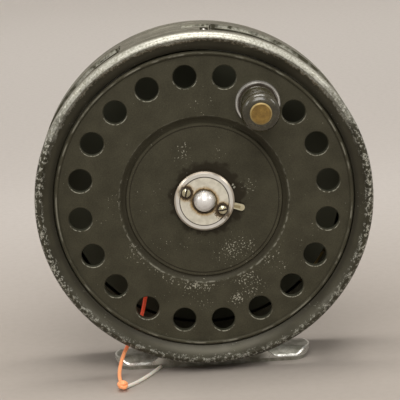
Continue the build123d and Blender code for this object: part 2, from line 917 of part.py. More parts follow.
def handle_plate():
    """Nickel-silver disc let onto the drum, with a raised rim round the foot of the grip."""
    rim = handle_plate_radius - handle_rim_width
    front = face_front - handle_plate_thickness
    crest = front - handle_rim_height
    bore = handle_pin_radius + fit_clearance
    return handle_turned(section(
        (bore, front),
        (rim - handle_rim_slope, front),
        (rim, crest),
        (handle_plate_radius - handle_rim_slope, crest),
        (handle_plate_radius, front),
        (handle_plate_radius, face_front),
        (bore, face_front),
    ))


def handle_grip():
    """Turned grip: skirt, waist and rounded shoulder, free to spin on its pin."""
    base = face_front - handle_plate_thickness - handle_play
    top = face_front - handle_length + handle_cap_thickness
    bore = handle_pin_radius + running_clearance
    neck = handle_cap_radius + grip_foot_round
    skirt = [
        (bore, along(base)),
        (grip_skirt_radius - grip_foot_round, along(base)),
        (grip_skirt_radius, along(base - grip_foot_round)),
        (grip_skirt_radius, along(base - grip_skirt_height)),
    ]
    waist = (grip_waist_radius, along((base + top) / 2 + grip_waist_forward))
    shoulder = (grip_shoulder_radius, along(top + grip_shoulder_height))
    brow = (grip_shoulder_radius, along(top + grip_crown))
    outline = make_face([
        *Polyline(*skirt).edges(),
        Spline(skirt[-1], waist, shoulder, tangents=((-0.9, -1), (0.12, -1))).edge(),
        *Polyline(shoulder, brow, (neck, along(top)), (bore, along(top)), skirt[0]).edges(),
    ])
    corner = outline.vertices().sort_by_distance((*brow, 0))[0]
    return handle_turned(fillet(corner, grip_shoulder_round))


def handle_pin():
    """Brass pin with its round cap, riveted over behind the front flange."""
    tip = face_front - handle_length
    cap_back = tip + handle_cap_thickness - handle_play
    end = flange_back + pin_tail_thickness
    return handle_turned(section(
        (0, tip),
        (handle_cap_radius - handle_cap_edge, tip),
        (handle_cap_radius, tip + handle_cap_edge),
        (handle_cap_radius, cap_back),
        (handle_pin_radius, cap_back),
        (handle_pin_radius, flange_back),
        (pin_tail_radius, flange_back),
        (pin_tail_radius - pin_tail_edge, end),
        (0, end),
    ))


# ---------------------------------------------------------------- ratchet check

def ratchet_rivet_places():
    """Places of the rivets that fix the ratchet wheel to the hub."""
    return [
        polar(ratchet_rivet_circle, 90 + place * 360 / ratchet_rivet_count)
        for place in range(ratchet_rivet_count)
    ]


def ratchet_wheel():
    """Toothed wheel behind the drum, with even teeth, so that the check works both ways."""
    points = []
    for tooth in range(ratchet_teeth):
        angle = regulator_angle + pawl_place + 360 * tooth / ratchet_teeth
        points.append(polar(ratchet_root_radius, angle))
        points.append(polar(ratchet_radius, angle + 180 / ratchet_teeth))
    outline = make_face(Polyline(*points, close=True)) - Circle(bush_radius)
    for place in ratchet_rivet_places():
        outline -= Pos(*place) * Circle(ratchet_rivet_radius + fit_clearance)
    return plate(outline, hub_back, ratchet_back)


def ratchet_rivets():
    """Rivets through the ratchet wheel into the hub."""
    rivets = Part()
    head_back = ratchet_back + ratchet_rivet_head_height
    for place in ratchet_rivet_places():
        rivets += rod(place, ratchet_rivet_radius, hub_back - ratchet_rivet_depth, ratchet_back)
        rivets += rod(place, ratchet_rivet_head_radius, ratchet_back, head_back)
    return rivets


def check_pawl(angle):
    """Wedge-shaped pawl whose tip stands between two ratchet teeth."""
    half = pawl_back_width / 2
    shoulder = pawl_back_radius - pawl_shoulder
    wedge = make_face(Polyline(
        (pawl_tip_radius, 0),
        (shoulder, half),
        (pawl_back_radius, half - pawl_corner),
        (pawl_back_radius, pawl_corner - half),
        (shoulder, -half),
        close=True,
    ))
    wedge -= Pos(pawl_circle, 0) * Circle(pawl_pin_radius + running_clearance)
    return to_regulator(plate(Rot(0, 0, angle) * wedge, pawl_front, pawl_front + pawl_thickness))


def pawl_posts():
    """Two posts riveted through the back plate, each with a collar and a pin for its pawl."""
    posts = Part()
    collar = pawl_front + pawl_thickness + running_clearance
    for angle in pawl_angles():
        place = polar(pawl_circle, angle)
        post = rod(place, pawl_pin_radius, pawl_pin_front, boss_back)
        post += rod(place, pawl_collar_radius, collar, plate_inner)
        post += rod(place, pawl_pin_radius + rivet_head_extra, boss_back, boss_back + rivet_head_thickness)
        thread = rod(place, pawl_screw_radius + fit_clearance, pawl_pin_front - overrun, collar)
        posts += to_regulator(post - thread)
    return posts


def pawl_screws():
    """Screws in the ends of the posts, which keep the pawls on."""
    screws = Part()
    for angle in pawl_angles():
        place = polar(pawl_circle, angle)
        screw = rod(place, pawl_screw_head_radius, pawl_screw_front, pawl_pin_front)
        screw -= screw_slot(place, pawl_screw_slot_turn, pawl_screw_front - head_slot_lift)
        screw += rod(place, pawl_screw_radius, pawl_pin_front, pawl_front + pawl_thickness)
        screws += to_regulator(screw)
    return screws


def calliper_path():
    """Middle line of the calliper spring: two legs that embrace the wheel, joined by a round bend."""
    middle = calliper_inner + calliper_strip / 2
    radial = polar(1, pawl_angles()[0])
    across = (-radial[1], radial[0])
    foot = tuple(radial[axis] * middle + across[axis] * calliper_leg_end for axis in (0, 1))
    elbow = tuple(radial[axis] * middle - across[axis] * calliper_elbow_reach for axis in (0, 1))
    crown = calliper_top + calliper_half_width
    left = [foot, elbow, (-calliper_half_width, calliper_waist), (-calliper_half_width, crown)]
    right = [(-x, y) for x, y in reversed(left)]
    bend = crown_share * calliper_half_width
    rounds = [calliper_elbow_round, calliper_waist_round, bend]
    return FilletPolyline(*left, *right, radius=rounds + rounds[::-1])


def calliper_spring():
    """Horseshoe of spring strip that presses both pawls towards the wheel."""
    strip = trace(calliper_path(), calliper_strip)
    return to_regulator(plate(strip, calliper_front, calliper_back))


def calliper_anchor():
    """Round anchor riveted to the back plate, which the spring's bend is clipped round."""
    place = (0, calliper_top)
    neck = calliper_half_width - calliper_strip / 2 - anchor_neck_clearance
    base = calliper_back + anchor_face_clearance
    head_back = calliper_front - anchor_face_clearance
    anchor = rod(place, anchor_radius, base, plate_inner)
    anchor += rod(place, neck, head_back, base)
    anchor += rod(place, anchor_radius, anchor_head_front, head_back)
    anchor += rod(place, anchor_tail_radius, plate_inner, plate_outer)
    rivet_back = plate_outer + rivet_head_thickness
    anchor += rod(place, anchor_tail_radius + rivet_head_extra, plate_outer, rivet_back)
    return to_regulator(anchor)


def slide_arm_inner():
    """Inner face of the slide's arms, just clear of the spring's legs."""
    return calliper_half_width + calliper_strip / 2 + calliper_gap


def regulator_slide():
    """Yoke on the regulator screw; its arms set how much of the spring's legs is free."""
    inner = slide_arm_inner()
    width = 2 * (inner + slide_arm_width)
    bar = Pos(0, (slide_bottom + slide_top) / 2) * Rectangle(width, slide_height)
    body = plate(bar, pawl_front, plate_inner - end_play)
    for side in (-1, 1):
        arm = Pos(side * (inner + slide_arm_width / 2), (slide_arm_end + slide_top) / 2) * Rectangle(
            slide_arm_width, slide_top - slide_arm_end
        )
        body += plate(arm, calliper_front, calliper_back)
    bore_radius = regulator_thread_radius + running_clearance
    return to_regulator(body - radial_rod(bore_radius, slide_bottom - overrun, slide_top + overrun))


def radial_rod(radius, inner, outer):
    """Round bar along the regulator screw, drawn straight up."""
    middle = axis_height + (inner + outer) / 2
    return Pos(0, along(regulator_depth), middle) * Cylinder(radius, outer - inner)


def regulator_screw():
    """Regulator screw: thread, collar, journal in the bracket and fluted head in the rim's notch."""
    collar_top = bracket_bottom - end_play
    collar = collar_top - regulator_collar_thickness
    screw = radial_rod(regulator_thread_radius, regulator_thread_end, collar)
    screw += radial_rod(regulator_collar_radius, collar, collar_top)
    screw += radial_rod(regulator_journal_radius, collar_top, regulator_head_inner)
    screw += radial_rod(regulator_head_radius, regulator_head_inner, regulator_head_top)
    height = axis_height + (regulator_head_inner + regulator_head_top) / 2
    for flute in range(regulator_flutes):
        x, y = polar(regulator_head_radius, 360 * flute / regulator_flutes)
        screw -= Pos(x, along(regulator_depth) + y, height) * Cylinder(regulator_flute_radius, frame_radius)
    slot = Box(2 * (regulator_head_radius + overrun), regulator_slot_width, 2 * regulator_slot_depth)
    return to_regulator(screw - Pos(0, along(regulator_depth), axis_height + regulator_head_top) * slot)


def bracket_screw_place(side):
    """Place of one screw in the bracket's ears, drawn with the regulator straight up."""
    return (side * (bracket_half_width + bracket_ear / 2), (bracket_bottom + bracket_top) / 2)


def regulator_bracket():
    """Block on the back plate that the regulator screw turns in."""
    height = bracket_top - bracket_bottom
    middle = (bracket_bottom + bracket_top) / 2
    block = plate(Pos(0, middle) * Rectangle(2 * bracket_half_width, height), bracket_front, plate_inner)
    ears = Pos(0, middle) * Rectangle(2 * (bracket_half_width + bracket_ear), height)
    bracket = block + plate(ears, bracket_ear_front, plate_inner)
    bore_radius = regulator_journal_radius + running_clearance
    bracket -= radial_rod(bore_radius, bracket_bottom - overrun, bracket_top + overrun)
    hole_back = plate_inner + overrun
    for side in (-1, 1):
        place = bracket_screw_place(side)
        bracket -= rod(place, bracket_screw_radius + fit_clearance, bracket_ear_front - overrun, hole_back)
    return to_regulator(bracket & ring(0, wall_inner - bracket_wall_clearance, bracket_front, hole_back))


def bracket_screws():
    """Two screws that hold the bracket on the back plate."""
    screws = Part()
    head_front = bracket_ear_front - bracket_screw_head_height
    back = bracket_screw_end - end_play
    for side in (-1, 1):
        place = bracket_screw_place(side)
        screw = rod(place, bracket_screw_head_radius, head_front, bracket_ear_front)
        screw -= screw_slot(place, bracket_screw_slot_turn, head_front - head_slot_lift)
        screws += to_regulator(screw + rod(place, bracket_screw_radius, bracket_ear_front, back))
    return screws


# ---------------------------------------------------------------- line

def turn_at(before, corner, after):
    """How far a route turns at a corner, in radians."""
    incoming = Vector(*corner) - Vector(*before)
    outgoing = Vector(*after) - Vector(*corner)
    return math.radians(incoming.get_angle(outgoing))


def cord_tube(name, points, diameter):
    """Round tube along straight runs joined by the largest tangent arcs that fit."""
    radii = []
    for before, corner, after in zip(points, points[1:], points[2:]):
        shorter = min((Vector(*corner) - Vector(*before)).length, (Vector(*after) - Vector(*corner)).length)
        radii.append(0.45 * shorter / math.tan(turn_at(before, corner, after) / 2))
    path = FilletPolyline(*points, radius=radii)
    tube = sweep(Plane(origin=path @ 0, z_dir=path % 0) * Circle(diameter / 2), path=path)
    expected = path.length * math.pi * diameter ** 2 / 4
    print(name, "length", round(path.length, 1), "volume against section times length",
          round(tube.volume / expected, 4), "radii", [round(radius, 1) for radius in radii])
    return tube


def line_end():
    """Last stretch of fly line, from the arbor through a window and down in front of the reel."""
    return cord_tube("line_end", line_points, line_diameter)


def leader_stub():
    """Short white stub left on the knot, lying up to the front of the foot."""
    return cord_tube("leader_stub", leader_points, leader_diameter)


def line_knot():
    """Rounded knot that joins the line and the stub."""
    return Pos(*knot_centre) * Sphere(knot_radius)


pieces = {
    "frame": frame,
    "slot_rivet": slot_rivet,
    "guard_ring": guard_ring,
    "reel_foot": reel_foot,
    "foot_rivets": foot_rivets,
    "spindle": spindle,
    "spindle_screws": spindle_screws,
    "pawl_posts": pawl_posts,
    "pawl_screws": pawl_screws,
    "calliper_spring": calliper_spring,
    "calliper_anchor": calliper_anchor,
    "regulator_bracket": regulator_bracket,
    "bracket_screws": bracket_screws,
    "regulator_screw": regulator_screw,
    "regulator_slide": regulator_slide,
    "check_pawl_left": lambda: check_pawl(pawl_angles()[0]),
    "check_pawl_right": lambda: check_pawl(pawl_angles()[1]),
    "drum": drum,
    "spindle_bush": spindle_bush,
    "ratchet_wheel": ratchet_wheel,
    "ratchet_rivets": ratchet_rivets,
    "latch_cover": latch_cover,
    "latch_screws": latch_screws,
    "latch_lever": latch_lever,
    "latch_spring": latch_spring,
    "handle_plate": handle_plate,
    "handle_pin": handle_pin,
    "handle_grip": handle_grip,
    "line_end": line_end,
    "line_knot": line_knot,
    "leader_stub": leader_stub,
}

os.makedirs("parts", exist_ok=True)
for name, make in pieces.items():
    export_step(make(), f"parts/{name}.step")
    print("wrote", name)
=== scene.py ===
import math

import bmesh
import bpy
from mathutils import Matrix, Vector


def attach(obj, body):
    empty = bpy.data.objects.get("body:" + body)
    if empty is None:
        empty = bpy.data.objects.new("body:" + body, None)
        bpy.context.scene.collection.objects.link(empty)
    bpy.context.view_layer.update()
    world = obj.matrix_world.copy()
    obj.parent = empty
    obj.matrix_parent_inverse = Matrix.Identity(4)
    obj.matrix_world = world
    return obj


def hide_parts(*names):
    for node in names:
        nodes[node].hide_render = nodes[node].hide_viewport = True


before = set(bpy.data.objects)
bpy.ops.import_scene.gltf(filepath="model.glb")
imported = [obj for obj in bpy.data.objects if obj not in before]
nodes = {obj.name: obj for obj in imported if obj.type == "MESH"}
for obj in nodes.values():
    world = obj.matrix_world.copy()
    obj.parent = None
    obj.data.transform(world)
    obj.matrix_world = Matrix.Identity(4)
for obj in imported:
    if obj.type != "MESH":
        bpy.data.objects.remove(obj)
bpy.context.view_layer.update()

mm = 0.001
axisHeight = 52.0  # millimetres, spindle above the floor
mouthY = -13.2  # millimetres, inner edge of the frame's mouth
print("frame loaded:", len(nodes), "nodes")


# camera

cameraSet = {
    "distance": 600.0,
    "raise": 12.33,
    "swing": -0.70,
    "roll": 3.3,
    "shiftAcross": 1.23,
    "shiftUp": 0.11,
    "lens": 185.9,
    "sensor": 36.0,
    "near": 0.01,
    "far": 20,
}


def placeCamera(spec):
    swing = math.radians(spec["swing"])
    lift = math.radians(spec["raise"])
    roll = math.radians(spec["roll"])
    across = Vector((math.cos(swing), math.sin(swing), 0))
    up = Vector((
        -math.sin(swing) * math.sin(lift), math.cos(swing) * math.sin(lift), math.cos(lift),
    ))
    ahead = Vector((
        -math.sin(swing) * math.cos(lift), math.cos(swing) * math.cos(lift), -math.sin(lift),
    ))
    place = Vector((0, mouthY, axisHeight))
    place -= across * spec["shiftAcross"] + up * spec["shiftUp"] + ahead * spec["distance"]
    rolledAcross = across * math.cos(roll) - up * math.sin(roll)
    rolledUp = across * math.sin(roll) + up * math.cos(roll)
    data = bpy.data.cameras.new("camera")
    data.lens = spec["lens"]
    data.sensor_width = spec["sensor"]
    data.clip_start = spec["near"]
    data.clip_end = spec["far"]
    camera = bpy.data.objects.new("camera", data)
    bpy.context.scene.collection.objects.link(camera)
    turn = Matrix((rolledAcross, rolledUp, -ahead)).transposed()
    camera.matrix_world = Matrix.Translation(place * mm) @ turn.to_4x4()
    bpy.context.scene.camera = camera


placeCamera(cameraSet)
print("camera placed")


# line, knot and leader

lineSet = {
    "diameter": 1.1,
    "length": 76.0,
    "points": (
        (-9.3, -3.4, 60.6), (-13.0, -3.6, 52.5), (-14.4, -3.9, 40.0), (-18.0, -4.2, 25.5),
        (-20.9, -4.6, 13.6), (-24.7, -6.6, 8.2), (-26.4, -12.2, 6.5), (-27.4, -17.2, 4.6),
        (-27.8, -20.9, 3.0), (-27.5, -24.2, 2.1), (-27.1, -26.3, 1.9),
    ),
}
leaderSet = {
    "diameter": 1.1,
    "points": (
        (-26.0, -26.4, 0.75), (-24.3, -23.9, 0.56), (-21.9, -20.6, 0.56), (-19.1, -15.3, 0.57),
        (-17.3, -11.3, 0.56), (-15.7, -7.7, 0.56),
    ),
}
knotSet = {
    "centre": (-26.7, -27.6, 1.75),
    "wire": 0.62,
    "loops": (
        ((-0.9, 1.0, 0.3), (-1.15, 0.1, 0.5), (-0.7, -0.9, 0.1), (0.2, -1.1, -0.4),
         (0.9, -0.4, -0.2), (0.8, 0.5, 0.4), (0.0, 0.9, 0.7), (-0.7, 0.5, 0.2), (-0.6, -0.3, -0.6)),
        ((0.7, 0.9, -0.3), (1.0, 0.1, 0.4), (0.5, -0.8, 0.75), (-0.4, -0.9, 0.5),
         (-1.0, -0.2, -0.2), (-0.5, 0.7, -0.6), (0.4, 0.6, -0.7)),
    ),
}


tubeSet = {
    "order": 3,
    "stepsAlong": 12,
    "stepsAround": 6,
}


def tubeCurve(name, points, diameter):
    data = bpy.data.curves.new(name, "CURVE")
    data.dimensions = "3D"
    spline = data.splines.new("NURBS")
    spline.points.add(len(points) - 1)
    for point, place in zip(spline.points, points):
        point.co = (place[0] * mm, place[1] * mm, place[2] * mm, 1)
        # a curve's box reaches out by its points' radius, so that is the tube's own
        point.radius = diameter * mm / 2
    spline.order_u = tubeSet["order"]
    spline.use_endpoint_u = True
    spline.resolution_u = tubeSet["stepsAlong"]
    data.bevel_depth = 1.0
    data.bevel_resolution = tubeSet["stepsAround"]
    data.use_fill_caps = True
    cord = bpy.data.objects.new(name, data)
    bpy.context.scene.collection.objects.link(cord)
    return cord


def buildLine():
    line = tubeCurve("flyLine", lineSet["points"], lineSet["diameter"])
    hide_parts("line_end")
    leader = tubeCurve("leaderStub", leaderSet["points"], leaderSet["diameter"])
    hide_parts("leader_stub")
    centre = Vector(knotSet["centre"])
    knots = []
    for count, loop in enumerate(knotSet["loops"]):
        points = [tuple(centre + Vector(place)) for place in loop]
        knots.append(tubeCurve("knotLoop" + str(count + 1), points, 2 * knotSet["wire"]))
    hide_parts("line_knot")
    for piece in [line, leader] + knots:
        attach(piece, "frame_body")
    return line, leader, knots


flyLine, leaderStub, knotLoops = buildLine()
print("line, knot and leader made")


# node helpers

def newGroup(name, inputs, outputs):
    tree = bpy.data.node_groups.new(name, "ShaderNodeTree")
    face = tree.interface
    for label, kind, value in inputs:
        socket = face.new_socket(name=label, in_out="INPUT", socket_type="NodeSocket" + kind)
        if value is not None:
            socket.default_value = value
    for label, kind in outputs:
        face.new_socket(name=label, in_out="OUTPUT", socket_type="NodeSocket" + kind)
    return tree, tree.nodes.new("NodeGroupInput"), tree.nodes.new("NodeGroupOutput")


def feed(socket, value):
    if isinstance(value, bpy.types.NodeSocket):
        socket.id_data.links.new(value, socket)
    elif socket.type == "RGBA":
        socket.default_value = (*value, 1)
    else:
        socket.default_value = value


def feedAll(sockets, values):
    for label, value in values.items():
        feed(sockets[label], value)


def addNode(kind, *values):
    # the new node goes in the tree of the sockets among the values
    tree = next(value.id_data for value in values if isinstance(value, bpy.types.NodeSocket))
    return tree.nodes.new(kind)


def calc(operation, *values, clamp=False):
    node = addNode("ShaderNodeMath", *values)
    node.operation = operation
    node.use_clamp = clamp
    for socket, value in zip(node.inputs, values):
        feed(socket, value)
    return node.outputs[0]


def chain(operation, values):
    result = values[0]
    for value in values[1:]:
        result = calc(operation, result, value)
    return result


def plus(*values):
    return chain("ADD", values)


def times(*values):
    return chain("MULTIPLY", values)


def largest(*values):
    return chain("MAXIMUM", values)


def minus(first, second):
    return calc("SUBTRACT", first, second)


def squares(first, second):
    return plus(times(first, first), times(second, second))


def fade(value, low, high, start=0.0, end=1.0):
    node = addNode("ShaderNodeMapRange", value)
    node.interpolation_type = "SMOOTHSTEP"
    labels = ("Value", "From Min", "From Max", "To Min", "To Max")
    feedAll(node.inputs, dict(zip(labels, (value, low, high, start, end))))
    return node.outputs["Result"]


def blendColour(share, first, second):
    node = addNode("ShaderNodeMix", share, first, second)
    node.data_type = "RGBA"
    feed(node.inputs[0], share)
    feed(node.inputs[6], first)
    feed(node.inputs[7], second)
    return node.outputs[2]


def noise(vector, scale, detail=2.0, rough=0.5, warp=0.0):
    node = addNode("ShaderNodeTexNoise", vector)
    labels = ("Vector", "Scale", "Detail", "Roughness", "Distortion")
    feedAll(node.inputs, dict(zip(labels, (vector, scale, detail, rough, warp))))
    return node.outputs["Fac"]


def wobble(vector, span, *settings):
    return times(minus(noise(vector, *settings), 0.5), span)


def vectorOf(*values):
    node = addNode("ShaderNodeCombineXYZ", *values)
    for socket, value in zip(node.inputs, values):
        feed(socket, value)
    return node.outputs[0]


def axesOf(vector):
    node = addNode("ShaderNodeSeparateXYZ", vector)
    feed(node.inputs[0], vector)
    return node.outputs


def objectPlace(tree, shift=(0, 0, 0)):
    # millimetres along the object's own axes
    coords = tree.nodes.new("ShaderNodeTexCoord")
    scaled = tree.nodes.new("ShaderNodeVectorMath")
    scaled.operation = "MULTIPLY_ADD"
    feed(scaled.inputs[0], coords.outputs["Object"])
    feed(scaled.inputs[1], (1 / mm,) * 3)
    feed(scaled.inputs[2], shift)
    return scaled.outputs[0]


def useGroup(tree, group, **values):
    node = tree.nodes.new("ShaderNodeGroup")
    node.node_tree = group
    feedAll(node.inputs, values)
    return node.outputs


def bump(height, strength, distance):
    node = addNode("ShaderNodeBump", height)
    feedAll(node.inputs, {"Height": height, "Strength": strength, "Distance": distance})
    return node.outputs["Normal"]


# shared effects

def makeSpindlePlace():
    tree, _, out = newGroup(
        "spindlePlace", (),
        (("Place", "Vector"), ("Radius", "Float"), ("Depth", "Float"), ("Across", "Float"),
         ("Up", "Float"), ("Turn", "Float")),
    )
    place = objectPlace(tree, shift=(0, -mouthY, -axisHeight))
    across, depth, up = axesOf(place)
    found = {
        "Place": place,
        "Radius": calc("SQRT", squares(across, up)),
        "Depth": depth,
        "Across": across,
        "Up": up,
        "Turn": calc("DEGREES", calc("ARCTAN2", up, across)),
    }
    feedAll(out.inputs, found)
    return tree


flecksSet = {
    "detail": 2.5,
    "rough": 0.55,
    # the noise level above which nothing shows, and how far a share of 1 lowers it
    "level": 0.86,
    "fall": 0.72,
}


def makeFlecks():
    spec = flecksSet
    tree, given, out = newGroup(
        "flecks",
        (("Place", "Vector", None), ("Size", "Float", 0.5), ("Share", "Float", 0.1),
         ("Edge", "Float", 0.05)),
        (("Mask", "Float"),),
    )
    grain = tree.nodes.new("ShaderNodeTexNoise")
    grain.inputs["Detail"].default_value = spec["detail"]
    grain.inputs["Roughness"].default_value = spec["rough"]
    feed(grain.inputs["Vector"], given.outputs["Place"])
    feed(grain.inputs["Scale"], calc("DIVIDE", 1.0, given.outputs["Size"]))
    level = minus(spec["level"], times(given.outputs["Share"], spec["fall"]))
    low = minus(level, given.outputs["Edge"])
    high = plus(level, given.outputs["Edge"])
    feed(out.inputs["Mask"], fade(grain.outputs["Fac"], low, high))
    return tree


def makeBand():
    tree, given, out = newGroup(
        "band",
        (("Value", "Float", 0.0), ("Start", "Float", 0.0), ("End", "Float", 1.0),
         ("Edge", "Float", 0.1)),
        (("Mask", "Float"),),
    )
    value, start, end, edge = given.outputs[:4]
    rising = fade(value, minus(start, edge), plus(start, edge))
    falling = fade(value, minus(end, edge), plus(end, edge), 1.0, 0.0)
    feed(out.inputs["Mask"], times(rising, falling))
    return tree


fineGrainSet = {
    "fineDetail": 3.0,
    "fineShare": 0.35,
    "broadDetail": 4.0,
    "broadShare": 0.65,
    "toneFade": (0.32, 0.68),
}


def makeFineGrain():
    spec = fineGrainSet
    tree, given, out = newGroup(
        "fineGrain",
        (("Place", "Vector", None), ("Grain", "Float", 0.25), ("Wave", "Float", 4.0)),
        (("Height", "Float"), ("Tone", "Float")),
    )
    fine = tree.nodes.new("ShaderNodeTexNoise")
    broad = tree.nodes.new("ShaderNodeTexNoise")
    for node, label, detail in (
        (fine, "Grain", spec["fineDetail"]), (broad, "Wave", spec["broadDetail"]),
    ):
        node.inputs["Detail"].default_value = detail
        feed(node.inputs["Vector"], given.outputs["Place"])
        feed(node.inputs["Scale"], calc("DIVIDE", 1.0, given.outputs[label]))
    feed(out.inputs["Height"], fine.outputs["Fac"])
    finePart = times(fine.outputs["Fac"], spec["fineShare"])
    mixed = plus(finePart, times(broad.outputs["Fac"], spec["broadShare"]))
    feed(out.inputs["Tone"], fade(mixed, *spec["toneFade"]))
    return tree


holeSet = {
    "first": 95.75,
    "circle": 36.4,
    "step": 18.0,
    # whole turns that keep the angle above nought
    "turns": 720.0,
}


def makeHoleEdge():
    spec = holeSet
    tree, given, out = newGroup(
        "holeEdge",
        (("Radius", "Float", 0.0), ("Turn", "Float", 0.0), ("First", "Float", spec["first"]),
         ("Circle", "Float", spec["circle"])),
        (("Distance", "Float"), ("Below", "Float")),
    )
    radius, turn, first, circle = given.outputs[:4]
    step = spec["step"]
    moved = plus(minus(turn, first), spec["turns"] + step / 2)
    local = calc("RADIANS", minus(calc("MODULO", moved, step), step / 2))
    along = minus(times(radius, calc("COSINE", local)), circle)
    aside = times(radius, calc("SINE", local))
    upward = calc("RADIANS", turn)
    beyond = times(along, calc("SINE", upward))
    sideways = times(aside, calc("COSINE", upward))
    distance = calc("SQRT", squares(along, aside))
    feed(out.inputs["Distance"], distance)
    feed(out.inputs["Below"], times(plus(beyond, sideways), -1.0))
    return tree


spindlePlace = makeSpindlePlace()
flecks = makeFlecks()
band = makeBand()
fineGrain = makeFineGrain()
holeEdge = makeHoleEdge()
print("shared effects made")


# materials

def newMaterial(name, **values):
    material = bpy.data.materials.new(name)
    material.use_nodes = True
    tree = material.node_tree
    shader = tree.nodes["Principled BSDF"]
    feedAll(shader.inputs, {label.replace("_", " "): value for label, value in values.items()})
    return material, tree, shader.inputs


def inBand(value, start, end, edge):
    return useGroup(value.id_data, band, Value=value, Start=start, End=end, Edge=edge)["Mask"]


def scatter(spot, size, share, edge):
    return useGroup(spot.id_data, flecks, Place=spot, Size=size, Share=share, Edge=edge)["Mask"]


def tonesOf(spot, grain, wave):
    return useGroup(spot.id_data, fineGrain, Place=spot, Grain=grain, Wave=wave)


def broken(spot, settings, limits):
    return fade(noise(spot, *settings), *limits)


def gathered(across, up, patch):
    middleAcross, middleUp, spread, share = patch
    square = squares(minus(across, middleAcross), minus(up, middleUp))
    return fade(square, 0.0, spread ** 2, share, 0.0)


def masked(sources, steps):
    values = []
    for step in steps:
        if isinstance(step, tuple):
            name, kind, *settings = step
            values.append(maskKinds[kind](sources[name], *settings))
        else:
            values.append(sources.get(step, step))
    return times(*values)


def mostOf(sources, rows):
    return largest(*(masked(sources, steps) for steps in rows))


def enamelFinish(shader, look, colour, wearAndGlint, grain):
    # feeds all but the roughness, and returns that without wear, painted highlights or oil
    feed(shader["Base Color"], colour)
    feed(shader["Metallic"], times(wearAndGlint, look["wearMetal"]))
    height = minus(times(grain["Height"], look["grainRise"]), times(wearAndGlint, look["wearDip"]))
    feed(shader["Normal"], bump(height, *look["bump"]))
    return plus(look["rough"], times(minus(grain["Tone"], 0.5), look["roughSpan"]))


def metalFinish(shader, look, colour, mask, tones):
    feed(shader["Base Color"], colour)
    feed(shader["Metallic"], minus(look["metal"], times(mask, look["maskMetal"])))
    feed(shader["Roughness"], plus(look["rough"], times(mask, look["maskRough"])))
    feed(shader["Normal"], bump(tones["Height"], *look["bump"]))


def toneFinish(shader, look, colour, tones):
    feed(shader["Base Color"], colour)
    feed(shader["Roughness"], plus(look["rough"], times(tones["Tone"], look["roughSpan"])))
    feed(shader["Normal"], bump(tones["Height"], *look["bump"]))


# A mask in the looks is a product. Each step names what it is taken from, its kind and that
# kind's settings: "fade" from and to, then what it starts and ends at if not 0 and 1; "band"
# start, end and soft edge; "flecks" size, share and edge; "noise" scale, detail and roughness,
# then its fade. A step without brackets is a mask made earlier or a plain share.
maskKinds = {"fade": fade, "band": inBand, "flecks": scatter, "noise": broken}

